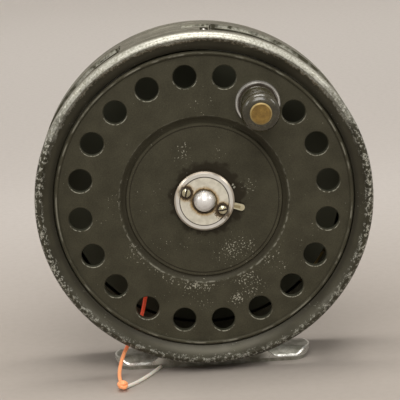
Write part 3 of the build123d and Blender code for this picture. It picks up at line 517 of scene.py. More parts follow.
frameLook = {
    "gloss": 0.5,
    "glossTint": (1.0, 0.96, 0.80),
    "enamelDark": (0.019, 0.0175, 0.0105),
    "enamelLight": (0.036, 0.0335, 0.021),
    # painted shade: the enamel darkened towards the mouth's inner edge
    "throatShade": (0.007, 0.006, 0.0035),
    "outerDark": (0.042, 0.040, 0.025),
    "outerLight": (0.095, 0.090, 0.058),
    # bare metal, and also the colour of the painted highlight on the ledge
    "bareAndGlint": (0.58, 0.58, 0.52),
    "bareDull": (0.30, 0.295, 0.235),
    "fringe": (0.19, 0.165, 0.115),
    "rough": 0.39,
    "roughSpan": 0.10,
    "bareRough": 0.36,
    "wearMetal": 0.35,
    "tones": (0.24, 5.0),
    "ragNoise": (1.1, 6.0, 0.74),
    "rag": 3.8,
    "broadNoise": (0.16, 2.0),
    "broadRag": 1.4,
    "broadLift": 0.6,
    "topLift": (0.30, 0.80),
    "streakStretch": (1.5, 0.035),
    "streakNoise": (1.0, 4.0, 0.6),
    "outerTone": (0.35, 0.65),
    "bareBreak": ((1.7, 5.0, 0.65), (0.34, 0.58)),
    "topDull": 0.15,
    "bump": (0.35, 0.00005),
    "grainRise": 0.5,
    "wearDip": 0.8,
    "fringeMask": (("reach", "band", 46.35, 47.0, 0.2), "topShare"),
    "crestMask": (("radius", "fade", 48.45, 48.95), ("depth", "fade", -1.6, -0.6)),
    "throatMask": (("radius", "fade", 45.7, 44.5), ("depth", "fade", -0.2, 0.1, 1.0, 0.0), 0.7),
    "outerMask": (("radius", "fade", 47.6, 48.3), ("depth", "fade", -1.4, 0.2)),
    # the ledge's edge and top, which the worn masks brighten along the top as a painted highlight
    "ledgeMasks": (
        (("depth", "band", 17.35, 17.95, 0.16),),
        (("depth", "band", 15.6, 17.6, 0.2), 0.5),
    ),
    # crest, mouth's side, outside, the ledge's edge along the top as a painted highlight on worn
    # enamel, rear edge, chips all over and a smear beside the top
    "wornAndGlintMasks": (
        (("reach", "fade", 46.4, 46.7), ("depth", "fade", -1.2, 0.4, 1.0, 0.0), "topShare"),
        (("reach", "fade", 46.6, 47.4), ("depth", "fade", -0.2, 1.6, 1.0, 0.0),
         ("spot", "flecks", 1.1, 0.47, 0.05), ("spot", "flecks", 0.42, 0.56, 0.08),
         ("lift", "fade", -0.75, -0.2, 0.55, 1.0)),
        (("radius", "fade", 47.6, 48.3), ("depth", "fade", -0.6, 0.6),
         ("streak", "fade", 0.51, 0.60), ("spot", "noise", (0.5, 5.0, 0.7), (0.42, 0.58)),
         ("lift", "fade", -0.4, 0.5, 0.5, 0.95)),
        ("ledge", ("radius", "fade", 47.6, 47.9), ("lift", "fade", 0.5, 0.85),
         ("spot", "noise", (0.4, 4.0), (0.40, 0.6))),
        (("depth", "band", 26.0, 27.2, 0.3), ("radius", "fade", 47.8, 48.3),
         ("spot", "noise", (0.7, 4.0), (0.38, 0.52))),
        (("spot", "flecks", 0.5, 0.24, 0.03), ("spot", "noise", (0.11, 2.0), (0.5, 0.66)), 0.6),
        (("turn", "band", 97.5, 106.0, 2.0), ("depth", "band", 18.4, 22.5, 0.8),
         ("streak", "fade", 0.44, 0.54), ("spot", "noise", (0.45, 3.0), (0.4, 0.55))),
    ),
}


def placesOf(tree):
    # what masks are taken from on the pieces about the spindle
    place = useGroup(tree, spindlePlace)
    sources = {label.lower(): place[label] for label in ("Radius", "Depth", "Across", "Up", "Turn")}
    sources["spot"] = place["Place"]
    return sources


def makeFrameEnamel():
    look = frameLook
    material, tree, shader = newMaterial(
        "frameEnamel", Specular_IOR_Level=look["gloss"], Specular_Tint=look["glossTint"],
    )
    at = placesOf(tree)
    radius, depth, spot = at["radius"], at["depth"], at["spot"]
    grain = tonesOf(spot, *look["tones"])
    at["lift"] = calc("DIVIDE", at["up"], largest(radius, 1.0))
    broadRag = minus(noise(spot, *look["broadNoise"]), 0.5)
    rags = plus(wobble(spot, look["rag"], *look["ragNoise"]), times(broadRag, look["broadRag"]))
    at["reach"] = plus(radius, rags)
    raised = plus(at["lift"], times(broadRag, look["broadLift"]))
    at["topShare"] = fade(raised, *look["topLift"])
    alongStretch, aroundStretch = look["streakStretch"]
    stretched = vectorOf(times(depth, alongStretch), times(at["turn"], aroundStretch))
    at["streak"] = noise(stretched, *look["streakNoise"])
    at["ledge"] = mostOf(at, look["ledgeMasks"])
    wearAndGlint = mostOf(at, look["wornAndGlintMasks"])
    enamel = blendColour(grain["Tone"], look["enamelDark"], look["enamelLight"])
    # painted shade towards the mouth's inner edge
    enamel = blendColour(masked(at, look["throatMask"]), enamel, look["throatShade"])
    outerTone = fade(at["streak"], *look["outerTone"])
    outer = blendColour(outerTone, look["outerDark"], look["outerLight"])
    enamel = blendColour(masked(at, look["outerMask"]), enamel, outer)
    bareAndGlint = blendColour(broken(spot, *look["bareBreak"]), look["bareDull"], look["bareAndGlint"])
    dulled = blendColour(look["topDull"], bareAndGlint, look["bareDull"])
    bareAndGlint = blendColour(at["topShare"], dulled, bareAndGlint)
    bareAndGlint = blendColour(masked(at, look["fringeMask"]), bareAndGlint, look["fringe"])
    bareAndGlint = blendColour(masked(at, look["crestMask"]), bareAndGlint, look["bareDull"])
    rough = enamelFinish(shader, look, blendColour(wearAndGlint, enamel, bareAndGlint), wearAndGlint, grain)
    feed(shader["Roughness"], plus(rough, times(wearAndGlint, look["bareRough"] - look["rough"])))
    return material


drumLook = {
    "gloss": 0.3,
    "glossTint": (1.0, 0.96, 0.80),
    "enamelDark": (0.028, 0.0257, 0.0160),
    "enamelLight": (0.060, 0.0555, 0.036),
    "inside": (0.048, 0.049, 0.033),
    # chipped enamel, and also the colour of the painted highlights on the channel's rim and the
    # holes' lower rims
    "chipAndGlint": (0.46, 0.45, 0.37),
    "oil": (0.009, 0.006, 0.0025),
    "rough": 0.50,
    "roughSpan": 0.12,
    "oilSmooth": 0.14,
    "wearMetal": 0.5,
    "tones": (0.42, 6.0),
    "handlePlace": 59.75,
    "handleFree": (7.0, 9.0),
    "onFront": (0.9, 1.2, 1.0, 0.0),
    "chipSize": 0.54,
    "chipEdge": 0.03,
    "chipShare": 0.12,
    "chipStrength": 0.75,
    "rimNoise": (1.1, 3.0),
    "rimRag": 0.5,
    "oilNoise": (0.45, 4.0),
    "oilRag": 5.5,
    "oilDrift": (0.6, 0.075),
    "oilShare": 0.85,
    "speckNoise": (2.6, 3.0, 0.6),
    "speckSpan": 1.3,
    "toneSpan": 0.6,
    "toneLift": 0.2,
    "bump": (0.3, 0.00005),
    "grainRise": 0.5,
    "wearDip": 0.8,
    # where chips gather: across, up, spread in millimetres, and share
    "chipPatches": (
        (9.5, -14.6, 6.5, 0.19), (4.0, -16.5, 6.0, 0.13), (13.2, 4.0, 3.5, 0.13),
        (-5.5, 14.0, 5.0, 0.15), (-13.5, 2.0, 5.0, 0.10), (-10.0, -13.0, 5.0, 0.10),
        (12.0, -27.3, 6.0, 0.20), (-3.5, -27.2, 7.0, 0.15), (7.5, -30.7, 3.0, 0.25),
        (20.5, -20.5, 5.5, 0.15), (-21.0, -14.5, 5.0, 0.13), (-26.5, 0.5, 4.5, 0.12),
        (1.0, 29.0, 6.0, 0.10), (5.0, 13.0, 3.5, 0.12), (8.5, 3.9, 0.5, 0.6),
        (8.9, 3.2, 0.5, 0.6),
    ),
    # more chips in places, and dust just outside the channel low on the drum
    "shareMasks": (
        (("spot", "noise", (0.13, 2.0), (0.45, 0.7)), 0.09),
        (("radius", "band", 24.9, 27.0, 0.9), ("lift", "fade", -0.3, -0.8), 0.15),
    ),
    # the channel's rim, worn all round and brightened low down as a painted highlight; the holes'
    # rims, a painted highlight on each hole's lower side; and the bead's, worn
    "rimWearAndGlintMasks": (
        # worn all round, with a painted highlight growing towards the bottom
        (("rim", "band", 24.5, 24.9, 0.14), ("spot", "noise", (0.9, 4.0), (0.42, 0.62)),
         ("lift", "fade", 0.9, -0.6, 0.08, 0.4)),
        # painted highlight: each hole's rim is brightened only on its lower side, where light from
        # above falls
        (("hole", "band", 3.5, 3.72, 0.07), ("spot", "noise", (1.3, 3.0), (0.38, 0.56)),
         ("below", "fade", 0.2, 2.8), "free", 0.6),
        (("radius", "band", 42.75, 43.1, 0.16), ("spot", "noise", (0.22, 3.0), (0.48, 0.62)), 0.4),
    ),
    "discMask": (("radius", "band", 21.52, 21.85, 0.05), 0.75),
    "oilMask": (("oily", "fade", 11.3, 9.9), "onFront"),
    "insideMasks": ((("hole", "fade", 3.46, 3.41), "free"), (("depth", "fade", 1.2, 1.6),)),
    "channelMask": (("radius", "band", 22.6, 24.2, 0.3), 0.45),
}


def drumWearAndGlint(look, at):
    gatherings = [gathered(at["across"], at["up"], patch) for patch in look["chipPatches"]]
    shares = [masked(at, steps) for steps in look["shareMasks"]]
    share = plus(look["chipShare"], *shares, *gatherings)
    chips = scatter(at["spot"], look["chipSize"], share, look["chipEdge"])
    chips = times(chips, look["chipStrength"])
    rims = [masked(at, steps) for steps in look["rimWearAndGlintMasks"]]
    return times(at["onFront"], largest(chips, *rims))


def makeDrumEnamel():
    look = drumLook
    material, tree, shader = newMaterial(
        "drumEnamel", Specular_IOR_Level=look["gloss"], Specular_Tint=look["glossTint"],
    )
    at = placesOf(tree)
    radius, spot = at["radius"], at["spot"]
    grain = tonesOf(spot, *look["tones"])
    hole = useGroup(tree, holeEdge, Radius=radius, Turn=at["turn"])
    at["hole"], at["below"] = hole["Distance"], hole["Below"]
    fromHandle = calc("ABSOLUTE", minus(at["turn"], look["handlePlace"]))
    at["free"] = fade(fromHandle, *look["handleFree"])
    at["onFront"] = fade(at["depth"], *look["onFront"])
    at["lift"] = calc("DIVIDE", at["up"], largest(radius, 1.0))
    at["rim"] = plus(radius, wobble(spot, look["rimRag"], *look["rimNoise"]))
    upDrift, drifting = look["oilDrift"]
    drift = times(plus(at["across"], times(at["up"], upDrift)), drifting)
    at["oily"] = minus(plus(radius, wobble(spot, look["oilRag"], *look["oilNoise"])), drift)
    wearAndGlint = drumWearAndGlint(look, at)
    oil = masked(at, look["oilMask"])
    speckle = wobble(spot, look["speckSpan"], *look["speckNoise"])
    tone = plus(times(grain["Tone"], look["toneSpan"]), speckle)
    tone = calc("ADD", tone, look["toneLift"], clamp=True)
    enamel = blendColour(tone, look["enamelDark"], look["enamelLight"])
    enamel = blendColour(times(oil, look["oilShare"]), enamel, look["oil"])
    enamel = blendColour(masked(at, look["discMask"]), enamel, look["oil"])
    enamel = blendColour(mostOf(at, look["insideMasks"]), enamel, look["inside"])
    enamel = blendColour(masked(at, look["channelMask"]), enamel, look["oil"])
    rough = enamelFinish(shader, look, blendColour(wearAndGlint, enamel, look["chipAndGlint"]), wearAndGlint, grain)
    feed(shader["Roughness"], minus(rough, times(oil, look["oilSmooth"])))
    return material


footLook = {
    "patina": (0.15, 0.145, 0.105),
    "alloy": (0.38, 0.375, 0.325),
    "bright": (0.70, 0.70, 0.66),
    "endCentre": 21.45,
    "endRadius": 7.85,
    "halfWidth": 7.0,
    "ragNoise": (0.9, 4.0),
    "rag": 0.9,
    "edgeFade": (0.75, 0.30),
    "edgeHeight": (0.9, 1.2),
    "edgeAway": (13.0, 17.0),
    "patchNoise": (0.30, 5.0, 0.55, 0.4),
    "patchFade": (0.34, 0.68),
    "fineNoise": (3.0, 4.0, 0.6),
    "fineFade": (0.40, 0.62),
    "fineShare": 0.25,
    "metal": (0.2, 0.7),
    "patchMetal": 0.55,
    "edgeMetal": 0.6,
    "rough": 0.34,
    "fineRough": 0.22,
    "edgeSmooth": 0.16,
    "bump": (0.3, 0.00006),
}


def makeFootAlloy():
    look = footLook
    material, tree, shader = newMaterial("footAlloy")
    spot = objectPlace(tree)
    x, y, z = axesOf(spot)
    outward = calc("ABSOLUTE", x)
    beyond = largest(minus(outward, look["endCentre"]), 0.0)
    reach = calc("SQRT", squares(beyond, y))
    endDistance = minus(look["endRadius"], reach)
    sideDistance = minus(look["halfWidth"], calc("ABSOLUTE", y))
    distance = calc("MINIMUM", endDistance, sideDistance)
    rag = wobble(spot, look["rag"], *look["ragNoise"])
    onEdge = fade(plus(distance, rag), *look["edgeFade"])
    edge = times(onEdge, fade(z, *look["edgeHeight"]), fade(outward, *look["edgeAway"]))
    patches = broken(spot, look["patchNoise"], look["patchFade"])
    fine = noise(spot, *look["fineNoise"])
    colour = blendColour(patches, look["patina"], look["alloy"])
    fineShare = times(fade(fine, *look["fineFade"]), look["fineShare"])
    colour = blendColour(fineShare, colour, look["patina"])
    feed(shader["Base Color"], blendColour(edge, colour, look["bright"]))
    patchMetal, edgeMetal = times(patches, look["patchMetal"]), times(edge, look["edgeMetal"])
    metal = calc("ADD", patchMetal, edgeMetal, clamp=True)
    leastMetal, metalSpan = look["metal"]
    feed(shader["Metallic"], plus(leastMetal, times(metal, metalSpan)))
    rough = plus(look["rough"], times(fine, look["fineRough"]))
    feed(shader["Roughness"], minus(rough, times(edge, look["edgeSmooth"])))
    feed(shader["Normal"], bump(plus(fine, patches), *look["bump"]))
    return material


latchLook = {
    "gloss": 0.5,
    "nickel": (0.80, 0.77, 0.665),
    "nickelDull": (0.66, 0.63, 0.53),
    "ring": (0.80, 0.78, 0.74),
    "grime": (0.052, 0.029, 0.007),
    "fringe": (0.42, 0.26, 0.070),
    "oil": (0.030, 0.020, 0.010),
    "ragNoise": (1.6, 4.0, 0.65),
    "rag": 1.1,
    "screwRag": 0.9,
    "spindleRag": 0.8,
    "toneNoise": (0.5, 4.0),
    "toneFade": (0.35, 0.65),
    "turningStretch": 6.0,
    "turningNoise": (3.0, 2.0),
    "aroundStretch": (0.04, 1.5),
    "aroundBreak": ((1.0, 3.0), (0.62, 0.38)),
    "aroundShare": 0.35,
    "metal": 0.62,
    "dirtMetal": 0.6,
    "rough": 0.44,
    "ringSmooth": 0.12,
    "toneRough": 0.2,
    "dirtRough": 0.1,
    "turningRise": 0.6,
    "dirtRise": 0.6,
    "bump": (0.18, 0.00003),
    # dirt about the screws and the spindle, a smear towards one screw and specks by the other
    "dirtMasks": (
        (("screwReach", "fade", 2.35, 1.95),),
        (("spindleReach", "fade", 4.0, 3.55),),
        (("asideRagged", "band", -1.9, 0.6, 0.4), ("along", "fade", 1.6, 2.6),
         ("ragged", "fade", 4.9, 4.2), 0.75),
        (("spot", "flecks", 0.42, 0.55, 0.04), ("distance", "fade", 3.4, 2.4),
         ("along", "fade", -3.2, -4.0), ("aside", "fade", 0.2, -0.6), 0.9),
    ),
    "fringeMasks": (
        (("ragged", "fade", 4.7, 3.7, 0.0, 0.85),),
        (("screwRagged", "fade", 3.0, 2.1, 0.0, 0.6),),
    ),
    "lineMask": (("radius", "band", 7.01, 7.26, 0.04),),
    "sideMasks": (
        (("radius", "fade", 8.6, 8.7), ("depth", "fade", -2.3, -2.16)),
        (("depth", "fade", -2.12, -2.0),),
    ),
    "ringMask": (("radius", "fade", 7.13, 7.23),),
    "bevelMask": (("radius", "fade", 8.2, 8.4), 0.35),
}
screwLook = {
    "circle": 5.85,
    "angle": 151.5,
    "brass": (0.66, 0.62, 0.46),
    "brassDull": (0.40, 0.35, 0.22),
    "oil": (0.030, 0.020, 0.010),
    "tones": (0.15, 0.8),
    "metal": 0.75,
    "maskMetal": 0.65,
    "rough": 0.26,
    "maskRough": 0.3,
    "bump": (0.15, 0.00003),
    # at the heads' rims, down in the slots and in flecks
    "dirtMasks": (
        (("distance", "fade", 1.25, 1.38),),
        (("depth", "fade", -3.11, -2.99),),
        (("spot", "flecks", 0.5, 0.26, 0.06),),
    ),
}


def addScrewPlace(at):
    # distance from the nearer latch screw's axis, with the two directions it is made of
    bearing = math.radians(screwLook["angle"])
    sine, cosine = math.sin(bearing), math.cos(bearing)
    at["along"] = plus(times(at["across"], cosine), times(at["up"], sine))
    at["aside"] = minus(times(at["across"], sine), times(at["up"], cosine))
    fromScrew = minus(calc("ABSOLUTE", at["along"]), screwLook["circle"])
    at["distance"] = calc("SQRT", squares(fromScrew, at["aside"]))


def makeLatchNickel():
    look = latchLook
    material, tree, shader = newMaterial("latchNickel", Specular_IOR_Level=look["gloss"])
    at = placesOf(tree)
    addScrewPlace(at)
    radius, spot = at["radius"], at["spot"]
    rag = wobble(spot, look["rag"], *look["ragNoise"])
    at["screwReach"] = plus(at["distance"], times(rag, look["screwRag"]))
    at["spindleReach"] = plus(radius, times(rag, look["spindleRag"]))
    at["ragged"] = plus(radius, rag)
    at["asideRagged"] = plus(at["aside"], rag)
    at["screwRagged"] = plus(at["distance"], rag)
    dirt = mostOf(at, look["dirtMasks"])
    line, side = masked(at, look["lineMask"]), mostOf(at, look["sideMasks"])
    tone = noise(spot, *look["toneNoise"])
    turning = noise(vectorOf(times(radius, look["turningStretch"])), *look["turningNoise"])
    turnStretch, radiusStretch = look["aroundStretch"]
    stretched = vectorOf(times(at["turn"], turnStretch), times(radius, radiusStretch))
    around = broken(stretched, *look["aroundBreak"])
    colour = blendColour(fade(tone, *look["toneFade"]), look["nickelDull"], look["nickel"])
    onRing = masked(at, look["ringMask"])
    colour = blendColour(onRing, colour, look["ring"])
    colour = blendColour(mostOf(at, look["fringeMasks"]), colour, look["fringe"])
    colour = blendColour(dirt, colour, look["grime"])
    colour = blendColour(times(onRing, around, look["aroundShare"]), colour, look["nickelDull"])
    colour = blendColour(masked(at, look["bevelMask"]), colour, look["fringe"])
    feed(shader["Base Color"], blendColour(largest(side, line), colour, look["oil"]))
    dull = times(largest(dirt, side, line), look["dirtMetal"])
    feed(shader["Metallic"], minus(look["metal"], dull))
    rough = minus(look["rough"], times(onRing, look["ringSmooth"]))
    rough = plus(rough, times(minus(tone, 0.5), look["toneRough"]))
    feed(shader["Roughness"], plus(rough, times(dirt, look["dirtRough"])))
    height = plus(times(turning, look["turningRise"]), times(dirt, look["dirtRise"]))
    feed(shader["Normal"], bump(height, *look["bump"]))
    return material


def makeScrewBrass():
    look = screwLook
    material, tree, shader = newMaterial("screwBrass")
    at = placesOf(tree)
    addScrewPlace(at)
    tones = tonesOf(at["spot"], *look["tones"])
    dirt = mostOf(at, look["dirtMasks"])
    colour = blendColour(tones["Tone"], look["brassDull"], look["brass"])
    metalFinish(shader, look, blendColour(dirt, colour, look["oil"]), dirt, tones)
    return material


leverLook = {
    "angle": -13.8,
    "edge": (0.72, 0.68, 0.50),
    "edgeDull": (0.52, 0.47, 0.31),
    "worn": (0.24, 0.19, 0.085),
    "wornShare": 0.8,
    "wornMask": (("aside", "fade", 0.57, 0.33), ("reach", "fade", 10.75, 10.45)),
    "ragNoise": (2.0, 3.0),
    "rag": 0.3,
    "tones": (0.15, 1.2),
    "metal": 0.6,
    "maskMetal": 0.3,
    "rough": 0.32,
    "maskRough": 0.16,
    "bump": (0.15, 0.00003),
}


def makeLeverBrass():
    look = leverLook
    material, tree, shader = newMaterial("leverBrass")
    at = placesOf(tree)
    bearing = math.radians(look["angle"])
    offLine = minus(times(at["up"], math.cos(bearing)), times(at["across"], math.sin(bearing)))
    rag = wobble(at["spot"], look["rag"], *look["ragNoise"])
    at["aside"] = plus(calc("ABSOLUTE", offLine), rag)
    at["reach"] = plus(at["radius"], rag)
    worn = masked(at, look["wornMask"])
    tones = tonesOf(at["spot"], *look["tones"])
    colour = blendColour(tones["Tone"], look["edgeDull"], look["edge"])
    colour = blendColour(times(worn, look["wornShare"]), colour, look["worn"])
    metalFinish(shader, look, colour, worn, tones)
    return material


# what a plain metal has unless its own look says otherwise
metalLook = {
    "patch": 1.5,
    "grain": 0.15,
    "grime": (0.03, 0.02, 0.01),
    "grimeShare": 0.15,
    "grimeEdge": 0.08,
    "grimeRough": 0.25,
    "metal": 1.0,
    "roughSpan": 0.12,
    "bump": (0.15, 0.00003),
}


def makeMetal(name, ownLook):
    look = {**metalLook, **ownLook}
    material, tree, shader = newMaterial(name, Metallic=look["metal"])
    spot = objectPlace(tree)
    tones = tonesOf(spot, look["grain"], look["patch"])
    colour = blendColour(tones["Tone"], look["dull"], look["bright"])
    dirt = scatter(spot, look["patch"], look["grimeShare"], look["grimeEdge"])
    feed(shader["Base Color"], blendColour(dirt, colour, look["grime"]))
    span = look["roughSpan"]
    varied = plus(look["rough"] - span / 2, times(tones["Tone"], span))
    feed(shader["Roughness"], plus(varied, times(dirt, look["grimeRough"])))
    feed(shader["Normal"], bump(tones["Height"], *look["bump"]))
    return material


handleLook = {
    "place": (16.9, 27.58),
}
gripLook = {
    "gloss": 0.6,
    "coatRough": 0.1,
    "coat": 0.5,
    "dark": (0.022, 0.019, 0.009),
    "light": (0.048, 0.041, 0.019),
    "tones": (0.5, 5.0),
    "rough": 0.20,
    "roughSpan": 0.10,
    "bump": (0.08, 0.00004),
}
plateLook = {
    "plate": (0.72, 0.71, 0.68),
    "plateDull": (0.50, 0.48, 0.45),
    "grime": (0.035, 0.024, 0.012),
    "gapFade": (5.76, 5.60),
    "rag": 0.12,
    "tones": (0.15, 2.5),
    "metal": 0.7,
    "maskMetal": 0.6,
    "rough": 0.24,
    "maskRough": 0.3,
    "bump": (0.12, 0.00003),
}
capLook = {
    "metal": 0.3,
    "amber": (0.30, 0.185, 0.040),
    "amberDark": (0.145, 0.082, 0.016),
    "amberRim": (0.40, 0.30, 0.12),
    "rimFade": (2.6, 2.9),
    "rimShare": 0.8,
    "tones": (0.25, 1.6),
    "mottle": (0.8, 0.42, 0.10),
    "mottleShare": 0.6,
    "rough": 0.42,
    "roughSpan": 0.14,
    "bump": (0.2, 0.00004),
}


def handleDistance(place):
    aside = minus(place["Across"], handleLook["place"][0])
    above = minus(place["Up"], handleLook["place"][1])
    return calc("SQRT", squares(aside, above))


def makeEbonite():
    look = gripLook
    material, tree, shader = newMaterial(
        "eboniteGrip", Specular_IOR_Level=look["gloss"], Coat_Roughness=look["coatRough"],
    )
    tones = tonesOf(useGroup(tree, spindlePlace)["Place"], *look["tones"])
    toneFinish(shader, look, blendColour(tones["Tone"], look["dark"], look["light"]), tones)
    feed(shader["Coat Weight"], times(tones["Tone"], look["coat"]))
    return material


def makeHandleNickel():
    look = plateLook
    material, tree, shader = newMaterial("handleNickel")
    place = useGroup(tree, spindlePlace)
    tones = tonesOf(place["Place"], *look["tones"])
    rag = times(minus(tones["Tone"], 0.5), look["rag"])
    gap = fade(plus(handleDistance(place), rag), *look["gapFade"])
    colour = blendColour(tones["Tone"], look["plateDull"], look["plate"])
    metalFinish(shader, look, blendColour(gap, colour, look["grime"]), gap, tones)
    return material


def makeCapAmber():
    look = capLook
    material, tree, shader = newMaterial("capAmber", Metallic=look["metal"])
    place = useGroup(tree, spindlePlace)
    tones = tonesOf(place["Place"], *look["tones"])
    mottle = times(scatter(place["Place"], *look["mottle"]), look["mottleShare"])
    rim = times(fade(handleDistance(place), *look["rimFade"]), look["rimShare"])
    colour = blendColour(tones["Tone"], look["amberDark"], look["amber"])
    colour = blendColour(mottle, colour, look["amberDark"])
    toneFinish(shader, look, blendColour(rim, colour, look["amberRim"]), tones)
    return material


# what both cords share
cordLook = {
    "gloss": 0.5,
    "softness": 0.15,
    "softDepth": 0.0006,
    "tones": (0.35, 2.0),
    "pale": (1.0, 1.0, 1.0),
    "paler": 0.12,
    "paleShare": 0.6,
    "roughSpan": 0.15,
    "bump": (0.25, 0.00006),
}


def makeCordCoat(name, ownLook):
    # the glow is painted light: the coat gives off light of its own, so that it stays bright where
    # it lies in shade
    look = {**cordLook, **ownLook}
    material, tree, shader = newMaterial(
        name, Specular_IOR_Level=look["gloss"], Subsurface_Weight=look["softness"],
        Subsurface_Scale=look["softDepth"], Emission_Strength=look["paintedGlow"],
    )
    spot = objectPlace(tree)
    tones = tonesOf(spot, *look["tones"])
    # the colour changes with height, low down and higher up, as painted light and shade
    share = fade(axesOf(spot)[2], *look["rise"])
    colour = blendColour(share, look["low"], look["high"])
    feed(shader["Emission Color"], colour)
    paler = blendColour(look["paler"], colour, look["pale"])
    paleShare = times(tones["Tone"], look["paleShare"])
    toneFinish(shader, look, blendColour(paleShare, colour, paler), tones)
    return material


def dress(material, *names):
    for name in names:
        piece = nodes[name]
        piece.data.materials.clear()
        piece.data.materials.append(material)


# turned pieces that stand for, or go over, the solids where the real form is rounder

noseSet = {
    "radius": 3.03,
    "rise": 2.6,
    "depth": -2.78,
    "steps": 14,
}
gripSet = {
    "flank": (
        (1.72, -1.83), (4.85, -1.83), (5.15, -2.13), (5.15, -3.03), (4.88, -3.5), (4.5, -4.6),
        (4.1, -6.6), (3.92, -8.9), (4.05, -11.0), (4.5, -13.0), (5.1, -14.9), (5.48, -16.0),
    ),
    "shoulder": 5.6,
    "round": 2.35,
    "front": -18.85,
    "bore": 1.72,
    "steps": 12,
}
turnSet = {
    "segments": 96,
    "tip": 0.001,
    "sharpAngle": 40,
}


def turnedPiece(name, outline, centre):
    # (radius, depth) points turned about a line along the spindle's direction
    segments = turnSet["segments"]
    mesh = bpy.data.meshes.new(name)
    work = bmesh.new()
    rings = []
    for radius, depth in outline:
        if radius < turnSet["tip"]:
            tip = (centre[0] * mm, (depth + mouthY) * mm, (axisHeight + centre[1]) * mm)
            rings.append([work.verts.new(tip)])
            continue
        ring = []
        for step in range(segments):
            angle = 2 * math.pi * step / segments
            x = centre[0] + radius * math.cos(angle)
            z = axisHeight + centre[1] + radius * math.sin(angle)
            ring.append(work.verts.new((x * mm, (depth + mouthY) * mm, z * mm)))
        rings.append(ring)
    for ring, following in zip(rings, rings[1:]):
        for step in range(segments):
            after = (step + 1) % segments
            if len(following) == 1:
                work.faces.new((ring[step], ring[after], following[0]))
            else:
                work.faces.new((ring[step], ring[after], following[after], following[step]))
    work.to_mesh(mesh)
    work.free()
    for face in mesh.polygons:
        face.use_smooth = True
    mesh.set_sharp_from_angle(angle=math.radians(turnSet["sharpAngle"]))
    piece = bpy.data.objects.new(name, mesh)
    bpy.context.scene.collection.objects.link(piece)
    return piece


def roundSpindleEnd():
    spec = noseSet
    outline = []
    for step in range(spec["steps"] + 1):
        angle = math.radians(90 * step / spec["steps"])
        rise = spec["rise"] * math.sin(angle)
        outline.append((spec["radius"] * math.cos(angle), spec["depth"] - rise))
    outline[-1] = (0.0, outline[-1][1])
    nose = turnedPiece("spindleNose", outline, (0.0, 0.0))
    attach(nose, "frame_body")
    nose.data.materials.append(nodes["spindle"].data.materials[0])


def roundGrip():
    spec = gripSet
    outline = list(spec["flank"])
    middle, back = spec["shoulder"] - spec["round"], spec["front"] + spec["round"]
    for step in range(spec["steps"] + 1):
        angle = math.radians(90 * step / spec["steps"])
        across, ahead = spec["round"] * math.cos(angle), spec["round"] * math.sin(angle)
        outline.append((middle + across, back - ahead))
    outline += [(spec["bore"], spec["front"]), spec["flank"][0]]
    grip = turnedPiece("turnedGrip", outline, handleLook["place"])
    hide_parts("handle_grip")
    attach(grip, "grip_body")
    grip.data.materials.append(makeEbonite())


spindleSteel = {
    "bright": (0.88, 0.87, 0.85),
    "dull": (0.76, 0.74, 0.72),
    "rough": 0.36,
    "patch": 2.0,
    "grimeShare": 0.05,
    "metal": 0.5,
}
checkSteel = {
    "bright": (0.60, 0.59, 0.57),
    "dull": (0.36, 0.35, 0.33),
    "rough": 0.34,
}
blueSpring = {
    "bright": (0.16, 0.19, 0.27),
    "dull": (0.10, 0.11, 0.14),
    "rough": 0.26,
}
checkBrass = {
    "bright": (0.66, 0.50, 0.24),
    "dull": (0.34, 0.25, 0.11),
    "rough": 0.34,
}
bushBronze = {
    "bright": (0.52, 0.36, 0.20),
    "dull": (0.30, 0.19, 0.10),
    "rough": 0.32,
}
orangeLook = {
    # low and high are lit and shaded copies of one coat: paler peach where the line lies in the
    # open below the frame, deep red up in the frame's shade
    "low": (0.95, 0.36, 0.14),
    "high": (0.86, 0.085, 0.028),
    "rough": 0.32,
    "rise": (6.5, 9.0),
    # painted light: the orange line glows by itself
    "paintedGlow": 0.22,
}
braidLook = {
    "low": (0.80, 0.76, 0.66),
    "high": (0.84, 0.80, 0.70),
    "rough": 0.5,
    "rise": (0.0, 1.0),
    "paintedGlow": 0.0,
}

dress(makeFrameEnamel(), "frame", "guard_ring")
dress(makeDrumEnamel(), "drum")
dress(makeFootAlloy(), "reel_foot", "foot_rivets")
dress(makeLatchNickel(), "latch_cover")
dress(makeMetal("spindleSteel", spindleSteel), "spindle")
dress(makeScrewBrass(), "latch_screws")
dress(makeLeverBrass(), "latch_lever")
roundSpindleEnd()
roundGrip()
dress(makeHandleNickel(), "handle_plate")
dress(makeCapAmber(), "handle_pin")
dress(makeMetal("checkSteel", checkSteel), "pawl_posts", "pawl_screws", "bracket_screws",
      "spindle_screws", "ratchet_rivets", "check_pawl_left", "check_pawl_right", "slot_rivet")
dress(makeMetal("blueSpring", blueSpring), "calliper_spring", "latch_spring")
dress(makeMetal("checkBrass", checkBrass), "calliper_anchor", "regulator_bracket",
      "regulator_screw", "regulator_slide", "ratchet_wheel")
dress(makeMetal("bushBronze", bushBronze), "spindle_bush")
orangeCoat = makeCordCoat("orangeCoat", orangeLook)
whiteBraid = makeCordCoat("whiteBraid", braidLook)
for piece in [flyLine] + knotLoops:
    piece.data.materials.append(orangeCoat)
leaderStub.data.materials.append(whiteBraid)
print("materials made")


# floor, backdrop and light

